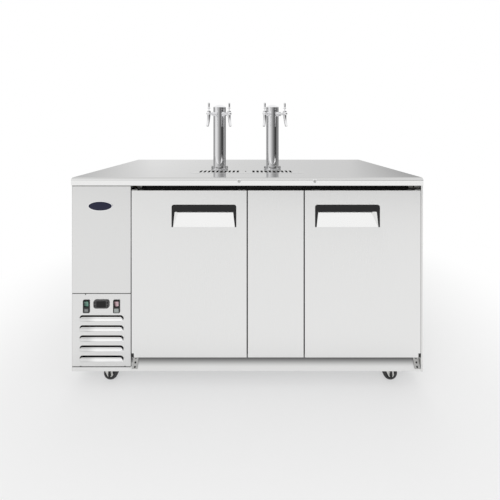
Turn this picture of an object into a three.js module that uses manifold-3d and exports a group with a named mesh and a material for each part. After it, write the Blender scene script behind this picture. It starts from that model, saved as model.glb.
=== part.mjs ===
// Draft beer cooler: a two-door direct-draw keg cooler on casters, with two column towers.
// Millimetres. +Z is up, the doors face -Y, and X = 0 is the middle of the cabinet.
// The origin lies on the floor under the middle of the cabinet.

import * as THREE from "three";
import { mergeVertices } from "three/addons/utils/BufferGeometryUtils.js";
import Module from "manifold-3d";

const wasm = await Module();
wasm.setup();

// Cabinet
const cabinetWidth = 1727;
const cabinetDepth = 714;
const worktopHeight = 1030;
const worktopThickness = 38;
const bullnoseRadius = 13;
const sheet = 1.5;
const fit = 0.3;
const overrun = 6;
const railBottom = 76;
const basePlateBottom = 100;
const basePlateThickness = 3;
const baseFlange = 2;

// Front: the widths from left to right are compartment, door, centre panel, door and end strip
const compartmentWidth = 289.5;
const centrePanelWidth = 274;
const endStrip = 9.5;
const doorGap = 6;
const endGap = 2;
const doorBottom = 147;
const topGap = 25;
const doorDepth = 46;
const doorSetback = 3;
const panelSetback = 6;
const gasketDepth = 10.4;
const gasketWidth = 14;
const gasketInset = 16;
const frameInset = 32;
const frameThickness = 3;
const sillDrop = 4;
const sillReturn = 10;
const sillSetback = 20;
const sillFoot = 5;

// Insulated box
const sideWall = 52;
const linerThickness = 1.5;

// Machine compartment front
const panelSplit = 458.4;
const panelSeam = 1.6;
const panelTopGap = 4;
const panelReturn = 20;
const louvreCount = 5;
const louvrePitch = 49.6;
const louvreTop = 352;
const louvreWidth = 214;
const louvreHeight = 26;
const louvreBulge = 7;
const louvreSkin = 1.2;
const louvreCorner = 14;
const louvreInset = 39;
const louvreGap = 4;
const controllerWidth = 77;
const controllerHeight = 42;
const controllerZ = 408;
const controllerInset = 146;
const controllerBezel = 2;
const controllerBodyWidth = 68;
const controllerBodyHeight = 29;
const controllerBodyDepth = 55;
const controllerCorner = 12;
const switchWidth = 32;
const switchHeight = 64;
const switchZ = 396;
const switchSpread = 74.3;
const switchProud = 2.5;
const switchDepth = 24;
const switchCorner = 4;
const rockerWidth = 21;
const rockerHeight = 27;
const rockerDepth = 11;
const rockerRaise = 14;
const rockerGap = 0.8;
const rockerTilt = 10;
const rockerPin = 2;

// Door grips
const gripWidth = 318;
const gripHeight = 107;
const gripDrop = 72.5;
const gripFromFreeEdge = 50.5;
const gripFlange = 3;
const gripProud = 1.2;
const gripBand = 30;
const gripSideTop = 15;
const gripSideBottom = 7;
const gripCorner = 12;
const gripLip = 8;
const pocketDepth = 33;
const pocketFloorRise = 77;

// Door hinges
const pinFromEdge = 14;
const pinFromFace = 7;
const pinRadius = 4;
const pinLength = 20;
const pinClearance = 0.5;
const hingeWidth = 27;
const hingeLeaf = 3;
const hingePlateHeight = 55;
const bushNotchWidth = 11;
const bushNotchHeight = 20;

// Locks
const lockDrop = 17;
const lockBarrelRadius = 9.5;
const lockPlugRadius = 6.5;
const lockProud = 1.5;
const lockLength = 20;
const leftLockInset = 37;
const rightLockInset = 48;
const camWidth = 8;
const camThickness = 3;
const camEngage = 9;
const camClearance = 1.5;

// Drip tray, towers and faucets
const towerSpacing = 317;
const towersShift = -11.5;
const towerBehindFront = 272;
const towerRadius = 38.1;
const towerWall = 1.6;
const towerHeight = 366;
const towerTurn = 5;
const towerFlangeRadius = 51;
const towerFlangeThickness = 4;
const towerCapBand = 5.5;
const towerCapRise = 13;
const towerCapRings = 5;
const towerCapSkirt = 12;
const ductRadius = 25;
const trayLength = 641;
const trayShift = 6;
const trayDepth = 104;
const trayBehindFront = 115;
const trayRim = 6;
const trayRimThickness = 1.2;
const trayWall = 1.2;
const trayDrop = 30;
const trayLedge = 6;
const grilleThickness = 2;
const grilleSeat = 3;
const slotsPerGroup = 10;
const slotPitch = 23.1;
const slotWidth = 12;
const slotLength = 54;
const slotsBehindMiddle = 14;
const slotGroupSpacing = 296;
const shankHeight = 327;
const faucetAngle = 35;
const shankRadius = 10.5;
const shankInside = 14;
const shankClearance = 1;
const collarRadius = 13;
const collarLength = 3;
const nutRadius = 12;
const nutLength = 22;
const barrelRadius = 9;
const faucetReach = 100;
const barrelEnd = 9;
const socketRadius = 11;
const socketHeight = 16;
const spoutRadius = 7.5;
const spoutBore = 5;
const spoutDrop = 72;
const spoutLean = 12;
const leverPivot = 14;
const leverBall = 7;
const leverTop = 63;
const leverStem = 3;
const cupClearance = 0.6;
const leverGripFoot = 15;
const leverCollarRadius = 9;
const leverCollarThickness = 3;
const leverRadius = 5.5;

// Casters
const casterInset = 155.5;
const casterFrontSetback = 45;
const casterBackSetback = 60;
const casterTrail = 16;
const wheelRadius = 35;
const wheelWidth = 22;
const treadRound = 4;
const axleRadius = 4;
const wheelGap = 1.5;
const forkThickness = 2.5;
const forkCrown = 4;
const forkCrownZ = 84;
const forkCrownRadius = 24;
const forkEndRadius = 16;
const studRadius = 5.5;
const studClearance = 0.5;
const casterPlateWidth = 92;
const casterPlateDepth = 66;
const casterPlateThickness = 4;
const raceRadius = 23;

// Refrigeration
const coilLow = 120;
const coilHeight = 250;
const coilDepth = 30;
const coilWidth = 252;
const coilSetback = 35;
const finPitch = 16;
const finThickness = 2;
const shroudDepth = 26;
const fanRadius = 92;
const fanTipGap = 5;
const fanHubRadius = 20;
const fanHubLength = 18;
const fanBladeCount = 5;
const fanBladeThickness = 2;
const fanBladeChord = 44;
const fanPitch = 28;
const motorRadius = 28;
const motorLength = 45;
const motorStrut = 8;
const motorShaft = 3;
const compressorRadius = 78;
const compressorHeight = 190;
const compressorDome = 30;
const compressorFoot = 14;
const compressorBaseWidth = 180;
const compressorSetback = 420;
const rearSlotCount = 12;
const rearSlotPitch = 36;
const rearSlotWidth = 210;
const rearSlotHeight = 12;
const rearSlotLow = 260;
const rearLap = 14;
const evaporatorLength = 360;
const evaporatorHeight = 210;
const evaporatorDepth = 80;
const evaporatorSkin = 2;
const evaporatorFanRadius = 75;

// Derived planes and lines
const leftSide = -cabinetWidth / 2;
const rightSide = cabinetWidth / 2;
const frontEdge = -cabinetDepth / 2;
const backEdge = cabinetDepth / 2;
const topUnderside = worktopHeight - worktopThickness;
const boxTop = topUnderside - fit;
const doorTop = topUnderside - topGap;
const doorFace = frontEdge + doorSetback;
const panelFace = frontEdge + panelSetback;
const doorBack = doorFace + doorDepth;
const frameFace = doorBack + fit + gasketDepth;
const foamFront = frameFace + frameThickness + fit;
const sillTop = doorBottom - sillDrop;
const basePlateTop = basePlateBottom + basePlateThickness;
const floorOfPieces = basePlateTop + fit;
const compartmentRight = leftSide + compartmentWidth;
const doorWidth = (cabinetWidth - compartmentWidth - centrePanelWidth - endStrip - 4 * doorGap) / 2;
const leftDoorX = [compartmentRight + doorGap, compartmentRight + doorGap + doorWidth];
const centrePanelX = [leftDoorX[1] + doorGap, leftDoorX[1] + doorGap + centrePanelWidth];
const endStripX = [rightSide - endStrip, rightSide];
const rightDoorX = [centrePanelX[1] + doorGap, endStripX[0] - endGap];
const boxX = [compartmentRight + fit, rightSide - sheet - fit];
const cavityX = [boxX[0] + sideWall, endStripX[0] - sideWall];
const cavityY = [foamFront, backEdge - sheet - fit - sideWall];
const cavityZ = [doorBottom + frameInset, doorTop - frameInset];
const innerX = [cavityX[0] + fit + linerThickness, cavityX[1] - fit - linerThickness];
const innerCeiling = cavityZ[1] - fit - linerThickness;
const towerY = frontEdge + towerBehindFront;
const towerXs = [towersShift - towerSpacing / 2, towersShift + towerSpacing / 2];

// Geometry helpers
function solid(geometry) {
  const bare = geometry.clone();
  bare.deleteAttribute("normal");
  bare.deleteAttribute("uv");
  const merged = mergeVertices(bare);
  const vertProperties = merged.attributes.position.array;
  const triVerts = Uint32Array.from(merged.index.array);
  return new wasm.Manifold(new wasm.Mesh({ numProp: 3, vertProperties, triVerts }));
}

function geometryOf(shape) {
  const mesh = shape.getMesh();
  const geometry = new THREE.BufferGeometry();
  geometry.setAttribute("position", new THREE.BufferAttribute(mesh.vertProperties, mesh.numProp));
  geometry.setIndex(new THREE.BufferAttribute(mesh.triVerts, 1));
  return geometry;
}

function box([x0, x1], [y0, y1], [z0, z1]) {
  const geometry = new THREE.BoxGeometry(x1 - x0, y1 - y0, z1 - z0);
  geometry.translate((x0 + x1) / 2, (y0 + y1) / 2, (z0 + z1) / 2);
  return solid(geometry);
}

function grown([low, high], by) {
  return [low - by, high + by];
}

function stretch(one, other) {
  return [Math.min(one, other), Math.max(one, other)];
}

function around(centre, size) {
  return [centre - size / 2, centre + size / 2];
}

// An arc in the shape gets twice as many sides as curveSegments
function extruded(shape, depth, basis, offset, curveSegments) {
  const geometry = new THREE.ExtrudeGeometry(shape, { depth, bevelEnabled: false, curveSegments });
  geometry.applyMatrix4(basis);
  geometry.translate(...offset);
  return solid(geometry);
}

// A shape drawn in Y and Z, drawn out along X
function alongX(shape, [x0, x1], curveSegments = 3) {
  const basis = new THREE.Matrix4().makeBasis(
    new THREE.Vector3(0, 1, 0), new THREE.Vector3(0, 0, 1), new THREE.Vector3(1, 0, 0));
  return extruded(shape, x1 - x0, basis, [x0, 0, 0], curveSegments);
}

// A shape drawn in X and Z, drawn out along Y
function alongY(shape, [y0, y1], curveSegments = 3) {
  const basis = new THREE.Matrix4().makeBasis(
    new THREE.Vector3(1, 0, 0), new THREE.Vector3(0, 0, 1), new THREE.Vector3(0, -1, 0));
  return extruded(shape, y1 - y0, basis, [0, y1, 0], curveSegments);
}

// A shape drawn in X and Y, drawn out along Z
function alongZ(shape, [z0, z1], curveSegments = 3) {
  return extruded(shape, z1 - z0, new THREE.Matrix4(), [0, 0, z0], curveSegments);
}

function outline(points) {
  return new THREE.Shape(points.map(([u, v]) => new THREE.Vector2(u, v)));
}

function roundedRectangle([u0, u1], [v0, v1], radius) {
  const shape = new THREE.Shape();
  shape.moveTo(u0 + radius, v0);
  shape.lineTo(u1 - radius, v0);
  shape.absarc(u1 - radius, v0 + radius, radius, -Math.PI / 2, 0);
  shape.lineTo(u1, v1 - radius);
  shape.absarc(u1 - radius, v1 - radius, radius, 0, Math.PI / 2);
  shape.lineTo(u0 + radius, v1);
  shape.absarc(u0 + radius, v1 - radius, radius, Math.PI / 2, Math.PI);
  shape.lineTo(u0, v0 + radius);
  shape.absarc(u0 + radius, v0 + radius, radius, Math.PI, 1.5 * Math.PI);
  return shape;
}

function disc(u, v, radius) {
  const shape = new THREE.Shape();
  shape.absarc(u, v, radius, 0, 2 * Math.PI);
  return shape;
}

// A turned piece about Z from [radius, height] points
function turned(points, segments) {
  return solid(new THREE.LatheGeometry(points.map(([r, z]) => new THREE.Vector2(r, z)), segments)
    .rotateX(Math.PI / 2));
}

function union(first, ...rest) {
  return rest.reduce((whole, piece) => whole.add(piece), first);
}

function without(first, ...rest) {
  return rest.reduce((whole, piece) => whole.subtract(piece), first);
}

function part(group, name, shape, [color, roughness, metalness]) {
  const material = new THREE.MeshStandardMaterial({ color, roughness, metalness });
  const mesh = new THREE.Mesh(geometryOf(shape), material);
  mesh.name = name;
  group.add(mesh);
  return mesh;
}

function placed(parent, x, y, z, turn = 0) {
  const group = new THREE.Group();
  group.position.set(x, y, z);
  group.rotation.z = turn;
  parent.add(group);
  return group;
}

// Finishes: colour, roughness and metalness
const stainless = [0xdcdcda, 0.35, 0.9];
const polished = [0xd8d8d8, 0.12, 1];
const galvanised = [0xb4b6b8, 0.5, 0.8];
const blackPlastic = [0x202020, 0.5, 0];
const greyPlastic = [0x8a8c8c, 0.5, 0];
const whiteLiner = [0xe6e6e2, 0.5, 0];
const foamYellow = [0xd9cfa0, 0.9, 0];
const gasketGrey = [0x3a3a3a, 0.7, 0];
const zinc = [0xc8c8c4, 0.3, 0.9];
const tyreGrey = [0x2c2c2e, 0.7, 0];
const enamelBlack = [0x18181a, 0.4, 0.2];
const switchGreen = [0x3f7f62, 0.3, 0];
const switchRed = [0x8a3030, 0.3, 0];

const cooler = new THREE.Group();

// Worktop: a bullnosed tray of sheet with its aprons down, cut for the drip tray, beer line
// ducts and locks, with a lock barrel pressed through the apron above each door
function worktopProfile(inset, bottom) {
  const radius = bullnoseRadius - inset;
  const front = frontEdge + inset;
  const top = worktopHeight - inset;
  const shape = new THREE.Shape();
  shape.moveTo(front, bottom);
  shape.lineTo(front, top - radius);
  shape.absarc(front + radius, top - radius, radius, Math.PI, Math.PI / 2, true);
  shape.lineTo(backEdge - inset, top);
  shape.lineTo(backEdge - inset, bottom);
  return shape;
}

const trayMiddleY = frontEdge + trayBehindFront + trayDepth / 2;

function trayOutline(inset) {
  const depth = trayDepth - 2 * inset;
  return roundedRectangle(
    around(towersShift + trayShift, trayLength - 2 * inset), around(trayMiddleY, depth), depth / 2);
}

const lockZ = worktopHeight - lockDrop;
const lockXs = [leftDoorX[1] - leftLockInset, rightDoorX[0] + rightLockInset];
const lockBack = frontEdge + lockLength;
const camReach = lockZ - doorTop + camEngage;

function makeWorktop() {
  let top = without(
    alongX(worktopProfile(0, topUnderside), [leftSide, rightSide]),
    alongX(worktopProfile(sheet, topUnderside - overrun), grown([leftSide, rightSide], -sheet)),
    alongZ(trayOutline(trayRim - fit), grown([topUnderside, worktopHeight], overrun)));
  for (const x of towerXs) {
    const duct = alongZ(disc(x, towerY, ductRadius), grown([topUnderside, worktopHeight], overrun), 6);
    top = top.subtract(duct);
  }
  for (const x of lockXs) {
    const barrel = alongY(disc(x, lockZ, lockBarrelRadius), [frontEdge - lockProud, lockBack], 6);
    const bore = alongY(disc(x, lockZ, lockPlugRadius + fit), grown([frontEdge, lockBack], overrun), 6);
    top = top.add(barrel).subtract(bore);
  }
  return top;
}
part(cooler, "worktop", makeWorktop(), stainless);

// Each lock plug turns in its barrel. Its cam points sideways when unlocked and drops into a
// slot in the top of the door when it is turned down
const camY = [lockBack + fit, lockBack + fit + camThickness];
lockXs.forEach((x, i) => {
  const plug = alongY(disc(x, lockZ, lockPlugRadius), [frontEdge - lockProud, camY[1]], 6);
  const cam = box([x, x + camReach], camY, around(lockZ, camWidth));
  part(cooler, ["lock_plug_left", "lock_plug_right"][i], plug.add(cam), zinc);
});

// Drip tray pan and its slotted grille, which lifts out of the ledge
const trayLedgeZ = worktopHeight - grilleSeat;
const panTop = worktopHeight + fit + trayRimThickness;
part(cooler, "drip_tray_pan", without(
  union(
    alongZ(trayOutline(0), [worktopHeight + fit, panTop]),
    alongZ(trayOutline(trayRim), [worktopHeight - trayDrop, panTop])),
  alongZ(trayOutline(trayRim + trayWall), [trayLedgeZ, panTop + overrun]),
  alongZ(trayOutline(trayRim + trayWall + trayLedge), [worktopHeight - trayDrop + trayWall, panTop])),
stainless);

function makeDripGrille() {
  let plate = alongZ(trayOutline(trayRim + trayWall + fit),
    [trayLedgeZ + fit, trayLedgeZ + fit + grilleThickness]);
  const slotsY = trayMiddleY + slotsBehindMiddle;
  for (const side of [-1, 1]) {
    for (let i = 0; i < slotsPerGroup; i += 1) {
      const x = towersShift + side * slotGroupSpacing / 2 + (i - (slotsPerGroup - 1) / 2) * slotPitch;
      const slot = roundedRectangle(around(x, slotWidth), around(slotsY, slotLength), slotWidth / 2);
      plate = plate.subtract(alongZ(slot, grown([trayLedgeZ, worktopHeight], overrun), 1));
    }
  }
  return plate;
}
part(cooler, "drip_tray_grille", makeDripGrille(), stainless);

// Insulated box: foam body, inner liner, and the face frame that the gaskets close on
const foamBack = backEdge - sheet - fit;

function ductsThrough(shape, radius, zs) {
  return towerXs.reduce((cut, x) => cut.subtract(alongZ(disc(x, towerY, radius), zs, 6)), shape);
}

part(cooler, "foam_body", ductsThrough(
  without(
    box(boxX, [foamFront, foamBack], [floorOfPieces, boxTop]),
    box(cavityX, [foamFront - overrun, cavityY[1]], cavityZ)),
  ductRadius, [innerCeiling, boxTop + overrun]), foamYellow);

const linerX = grown(cavityX, -fit);
const linerY = [foamFront, cavityY[1] - fit];
const linerZ = grown(cavityZ, -fit);
part(cooler, "inner_liner", ductsThrough(
  without(
    box(linerX, linerY, linerZ),
    box(innerX, [foamFront - overrun, linerY[1] - linerThickness], grown(linerZ, -linerThickness))),
  ductRadius, [innerCeiling - overrun, boxTop]), whiteLiner);

const frameX = [boxX[0], endStripX[0] - fit];
const openings = [
  [cavityX[0], leftDoorX[1] - frameInset],
  [rightDoorX[0] + frameInset, cavityX[1]],
];
part(cooler, "face_frame", without(
  box(frameX, [frameFace, frameFace + frameThickness], [floorOfPieces, boxTop]),
  ...openings.map((xs) => box(xs, grown([frameFace, foamFront], overrun), cavityZ))), blackPlastic);

// Outer panels
const panelZ = [railBottom, boxTop];
const stiffenerY = panelFace + panelReturn + fit;
part(cooler, "left_side_panel", union(
  box([leftSide, leftSide + sheet], [panelFace, backEdge], panelZ),
  box([leftSide, leftSide + panelReturn], [stiffenerY, stiffenerY + sheet], [floorOfPieces, boxTop])),
stainless);

const endInner = [endStripX[0], endStripX[0] + sheet];
part(cooler, "right_side_panel", union(
  box([rightSide - sheet, rightSide], [doorFace, backEdge], panelZ),
  box(endStripX, [doorFace, doorFace + sheet], panelZ),
  box(endInner, [doorFace, frameFace - fit], [floorOfPieces, boxTop])), stainless);

part(cooler, "back_panel", box(boxX, [backEdge - sheet, backEdge], [floorOfPieces, boxTop]), galvanised);

// Base pan with its flanges down, and the four caster plates with their raceways
const baseX = grown([leftSide + sheet, rightSide - sheet], -fit);
const baseY = [panelFace + sheet + fit, foamBack];
const casterXs = [leftSide + casterInset, rightSide - casterInset];
const casterYs = [doorFace + casterFrontSetback, backEdge - casterBackSetback];
const racewayBottom = forkCrownZ + forkCrown + fit;

function makeBasePan() {
  const flangeY = [baseY[0] + sillReturn, baseY[1]];
  const inPlate = basePlateBottom + basePlateThickness / 2;
  let pan = without(
    box(baseX, flangeY, [railBottom, basePlateTop]).add(box(baseX, baseY, [basePlateBottom, basePlateTop])),
    box(grown(baseX, -baseFlange), [baseY[0] - overrun, flangeY[1] - baseFlange],
      [railBottom - overrun, basePlateBottom]));
  pan = pan.subtract(box([frameX[0] - fit, rightSide], [baseY[0] - overrun, panelFace + sillSetback],
    grown([basePlateBottom, basePlateTop], fit)));
  for (const x of casterXs) {
    for (const y of casterYs) {
      pan = union(pan,
        box(around(x, casterPlateWidth), around(y, casterPlateDepth),
          [basePlateBottom - casterPlateThickness, inPlate]),
        alongZ(disc(x, y, raceRadius), [racewayBottom, inPlate], 7));
      pan = pan.subtract(alongZ(disc(x, y, studRadius + studClearance),
        grown([racewayBottom, basePlateTop], overrun), 4));
    }
  }
  return pan;
}
part(cooler, "base_pan", makeBasePan(), galvanised);

// Sill: the rail along the bottom of the front. It is low and upright under the compartment, and
// under the doors it leans back to its top, in the shade of the doors
const louvreBottom = basePlateBottom + fit + fit;
const sillFootZ = railBottom + sillFoot;
const sillBack = frameFace - fit;
const sillSection = outline([[panelFace, railBottom], [panelFace + sheet, railBottom],
  [panelFace + sheet, sillFootZ], [panelFace + sillSetback + sheet, sillTop - sheet],
  [sillBack, sillTop - sheet], [sillBack, sillTop], [panelFace + sillSetback, sillTop],
  [panelFace, sillFootZ]]);
part(cooler, "front_sill", union(
  box([leftSide + sheet + fit, frameX[1]], [panelFace, panelFace + sillReturn],
    [railBottom, railBottom + sheet]),
  box([leftSide + sheet + fit, frameX[0] + sheet], [panelFace, panelFace + sheet],
    [railBottom, basePlateBottom]),
  alongX(sillSection, frameX)), stainless);

// A shallow tray of sheet, closed at the front and open at the back
function tray(xs, [front, back], zs) {
  return without(
    box(xs, [front, back], zs),
    box(grown(xs, -sheet), [front + sheet, back + overrun], grown(zs, -sheet)));
}

const doorZ = [doorBottom, doorTop];
part(cooler, "centre_panel", tray(centrePanelX, [doorFace, frameFace - fit], doorZ), stainless);

// Machine compartment front: plain upper panel, louvred lower panel with controller and switches
const compartmentX = [leftSide + sheet + fit, compartmentRight];
const panelY = [panelFace, panelFace + panelReturn];
const upperPanelZ = [panelSplit + panelSeam, boxTop - panelTopGap];
part(cooler, "upper_front_panel", tray(compartmentX, panelY, upperPanelZ), stainless);

const louvreX = [leftSide + louvreInset, leftSide + louvreInset + louvreWidth];
const controllerX = leftSide + controllerInset;
const switchXs = [controllerX - switchSpread, controllerX + switchSpread];
const panelCut = [panelFace - overrun, panelFace + sheet + overrun];

// One hood: it bulges forward under its slot, which is open at the top
function hoodSection(top, inset, rise) {
  const shape = new THREE.Shape();
  const bulge = louvreBulge - inset;
  shape.moveTo(panelFace, top - louvreHeight + inset);
  shape.quadraticCurveTo(panelFace - bulge, top - louvreHeight / 2, panelFace - bulge, top);
  shape.lineTo(panelFace - bulge, top + rise);
  shape.lineTo(panelFace + sheet, top + rise);
  shape.lineTo(panelFace + sheet, top - louvreHeight + inset);
  return shape;
}

function makeLouvrePanel() {
  const panelZs = [louvreBottom, panelSplit];
  let panel = tray(compartmentX, panelY, panelZs);
  panel = panel.subtract(box(grown(compartmentX, overrun),
    [panelFace + sheet + fit / 2, panelY[1] + overrun], [louvreBottom - overrun, floorOfPieces]));
  for (let i = 0; i < louvreCount; i += 1) {
    const slotTop = louvreTop - i * louvrePitch;
    const top = slotTop - louvreGap;
    const hoodY = [panelFace - louvreBulge, panelFace + sheet];
    const face = roundedRectangle(louvreX, [top - louvreHeight - louvreCorner, top], louvreCorner);
    const hollowFace = roundedRectangle(grown(louvreX, -louvreSkin),
      [top - louvreHeight - louvreCorner, top - louvreSkin], louvreCorner - louvreSkin);
    const slotZ = [top - louvreCorner, slotTop];
    const slotFace = box(grown(louvreX, -louvreCorner), grown(hoodY, overrun), slotZ);
    const hood = alongX(hoodSection(top, 0, 0), louvreX, 4).intersect(alongY(face, hoodY, 2));
    const hollow = alongX(hoodSection(top, louvreSkin, overrun), grown(louvreX, -louvreSkin), 4)
      .intersect(alongY(hollowFace, grown(hoodY, overrun), 2).add(slotFace));
    panel = panel.add(hood).subtract(hollow);
  }
  for (const x of switchXs) {
    const cutOut = [around(x, switchWidth - switchCorner), around(switchZ, switchHeight - switchCorner)];
    panel = panel.subtract(box(cutOut[0], panelCut, cutOut[1]));
  }
  return panel.subtract(box(around(controllerX, controllerBodyWidth + fit), panelCut,
    around(controllerZ, controllerBodyHeight + fit)));
}
part(cooler, "louvre_panel", makeLouvrePanel(), stainless);

const controllerFace = panelFace - fit - controllerBezel;
part(cooler, "temperature_controller", union(
  alongY(roundedRectangle(around(controllerX, controllerWidth), around(controllerZ, controllerHeight),
    controllerCorner), [controllerFace, panelFace - fit]),
  box(around(controllerX, controllerBodyWidth - fit), [controllerFace, panelFace + controllerBodyDepth],
    around(controllerZ, controllerBodyHeight - fit))), greyPlastic);

// Each rocker switch: a bezel with an open well and a rocker on a pin across the well
const rockerZ = switchZ + rockerRaise;
const switchFace = panelFace - fit - switchProud;
const rockerAxisY = switchFace + rockerDepth / 2;
switchXs.forEach((x, i) => {
  const side = ["left", "right"][i];
  const body = union(
    alongY(roundedRectangle(around(x, switchWidth), around(switchZ, switchHeight), switchCorner),
      [switchFace, panelFace - fit], 1),
    box(around(x, switchWidth - switchCorner - fit), [switchFace + fit, panelFace + switchDepth],
      around(switchZ, switchHeight - switchCorner - fit)));
  const wellY = [switchFace - overrun, panelFace + switchDepth - sheet];
  const wellX = around(x, rockerWidth + 2 * rockerGap);
  const well = box(wellX, wellY, around(rockerZ, rockerHeight + 2 * rockerGap));
  const pinX = around(x, switchWidth - switchCorner - 2 * fit);
  const pin = alongX(disc(rockerAxisY, rockerZ, rockerPin), pinX, 4);
  part(cooler, `switch_bezel_${side}`, body.subtract(well).add(pin), blackPlastic);

  const rocker = placed(cooler, x, rockerAxisY, rockerZ);
  rocker.rotation.x = THREE.MathUtils.degToRad(rockerTilt);
  const half = rockerHeight / 2;
  const front = -rockerDepth / 2;
  const profile = outline([[front, -half], [front + rockerPin, 0], [front, half],
    [-front, half / 2], [-front, -half / 2]]);
  const shell = alongX(profile, around(0, rockerWidth));
  const bore = alongX(disc(0, 0, rockerPin + fit), around(0, rockerWidth + overrun), 4);
  part(rocker, `switch_rocker_${side}`, shell.subtract(bore), [switchGreen, switchRed][i]);
});

// Doors: skin with a pressed finger pocket, insulated inner pan, black grip and gasket.
// side is -1 for the door hinged at its left edge and +1 for the one hinged at its right edge
const pinY = doorFace + pinFromFace;

function pocketSection(inset, front) {
  const top = doorTop - gripDrop - inset;
  const bottom = doorTop - gripDrop - gripHeight;
  const slope = Math.hypot(pocketDepth, pocketFloorRise) / pocketDepth;
  const back = doorFace + pocketDepth - inset;
  const rise = inset * slope;
  return outline([[front, bottom + rise], [doorFace, bottom + rise],
    [back, bottom + pocketFloorRise + rise - inset * pocketFloorRise / pocketDepth],
    [back, top], [front, top]]);
}

function gripOutline(xs, top, bottom, band, sideTop, sideBottom) {
  const [x0, x1] = xs;
  const shape = new THREE.Shape();
  shape.moveTo(x0, bottom);
  shape.lineTo(x0 + sideBottom, bottom);
  shape.lineTo(x0 + sideTop, top - band);
  shape.lineTo(x1 - sideTop, top - band);
  shape.lineTo(x1 - sideBottom, bottom);
  shape.lineTo(x1, bottom);
  shape.lineTo(x1, top - gripCorner);
  shape.absarc(x1 - gripCorner, top - gripCorner, gripCorner, 0, Math.PI / 2);
  shape.lineTo(x0 + gripCorner, top);
  shape.absarc(x0 + gripCorner, top - gripCorner, gripCorner, Math.PI / 2, Math.PI);
  return shape;
}

function makeDoor(side, doorX, lockX) {
  const name = side < 0 ? "left" : "right";
  const hingeEdge = side < 0 ? doorX[0] : doorX[1];
  const freeEdge = side < 0 ? doorX[1] : doorX[0];
  const pinX = hingeEdge - side * pinFromEdge;
  const gripNear = freeEdge + side * gripFromFreeEdge;
  const gripX = stretch(gripNear, gripNear + side * gripWidth);
  const pocketX = grown(gripX, -gripFlange);
  const gripTop = doorTop - gripDrop;
  const gripBottom = gripTop - gripHeight;

  const notch = box(stretch(hingeEdge + side * overrun, hingeEdge - side * bushNotchWidth),
    [doorFace - overrun, doorFace + sheet], [doorBottom - overrun, doorBottom + bushNotchHeight]);
  const bore = disc(pinX, pinY, pinRadius + pinClearance);
  const pinBores = alongZ(bore, [doorBottom - overrun, doorBottom + pinLength], 5)
    .add(alongZ(bore, [doorTop - pinLength, doorTop + overrun], 5));
  const camEntry = Math.hypot(camReach, camWidth / 2) ** 2 - (lockZ - doorTop) ** 2;
  const camSlot = box([lockX - camWidth / 2 - camClearance, lockX + Math.sqrt(camEntry) + camClearance],
    grown(camY, camClearance), [lockZ - camReach - camClearance, doorTop + overrun]);

  const shell = tray(doorX, [doorFace, doorBack], doorZ)
    .add(alongX(pocketSection(-sheet, doorFace), grown(pocketX, sheet)))
    .subtract(alongX(pocketSection(0, doorFace - overrun), pocketX));
  part(cooler, `door_skin_${name}`, without(shell, notch, pinBores, camSlot), stainless);

  const panX = grown(doorX, -sheet - fit);
  const panZ = grown(doorZ, -sheet - fit);
  const pan = box(panX, [doorFace + sheet + fit, doorBack], panZ)
    .subtract(alongX(pocketSection(-sheet - fit, doorFace - overrun), grown(pocketX, sheet + fit)));
  part(cooler, `door_inner_pan_${name}`, without(pan, pinBores, camSlot), whiteLiner);

  const flangeY = [doorFace - gripProud, doorFace - fit];
  const flange = alongY(gripOutline(gripX, gripTop + gripFlange, gripBottom, gripBand + gripFlange,
    gripSideTop, gripSideBottom), flangeY);
  const plug = alongY(gripOutline(grown(pocketX, -fit), gripTop - fit, gripBottom, gripBand - fit,
    gripSideTop - gripFlange, gripSideBottom - gripFlange), [flangeY[0], doorFace + pocketDepth - fit])
    .intersect(alongX(pocketSection(fit, doorFace - gripProud), pocketX));
  const fingerSpace = box(grown(pocketX, -gripSideTop), [doorFace + gripLip, doorBack],
    [gripTop - gripBand - overrun, gripTop - gripLip]);
  part(cooler, `door_grip_${name}`, flange.add(plug).subtract(fingerSpace), blackPlastic);

  const sealX = grown(doorX, -gasketInset);
  const sealZ = grown(doorZ, -gasketInset);
  const sealY = [doorBack + fit, frameFace - fit];
  part(cooler, `door_gasket_${name}`, without(
    box(sealX, sealY, sealZ),
    box(grown(sealX, -gasketWidth), grown(sealY, overrun), grown(sealZ, -gasketWidth))), gasketGrey);

  // Hinge brackets: the lower one is screwed to the sill and the upper one to the face frame
  const leafX = [pinX - hingeWidth / 2 + side * fit, pinX + hingeWidth / 2 + side * fit];
  const lowLeaf = [sillTop + fit, sillTop + fit + hingeLeaf];
  const lean = sillSetback / (sillTop - sillFootZ);
  const plateFoot = sillTop - hingePlateHeight;
  const plateAt = (z, off) => [panelFace + lean * (z - sillFootZ) - off * Math.hypot(1, lean), z];
  const plate = outline([plateAt(plateFoot, fit + hingeLeaf), plateAt(plateFoot, fit),
    plateAt(lowLeaf[0], fit), plateAt(lowLeaf[1], fit), plateAt(lowLeaf[1], fit + hingeLeaf)]);
  part(cooler, `hinge_lower_${name}`, union(
    box(leafX, [panelFace - hingeLeaf, panelFace + sillSetback + pinFromFace], lowLeaf),
    alongX(plate, leafX),
    alongZ(disc(pinX, pinY, pinRadius), [lowLeaf[0], doorBottom + pinLength - fit], 5)), zinc);
  const highLeaf = [doorTop + pinClearance, doorTop + pinClearance + hingeLeaf];
  part(cooler, `hinge_upper_${name}`, union(
    box(leafX, [pinY - pinRadius - pinClearance, frameFace - fit], highLeaf),
    box(leafX, [frameFace - fit - hingeLeaf, frameFace - fit], [highLeaf[0], boxTop]),
    alongZ(disc(pinX, pinY, pinRadius), [doorTop - pinLength + fit, highLeaf[1]], 5)), zinc);
}
makeDoor(-1, leftDoorX, lockXs[0]);
makeDoor(1, rightDoorX, lockXs[1]);

// Towers: each column carries two faucets on shanks and a domed cap. Both towers stand turned
// a little to the right
const columnTop = worktopHeight + towerHeight;
const faucetTurn = (sign) => towerTurn + sign * faucetAngle;
const radians = THREE.MathUtils.degToRad;

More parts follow.
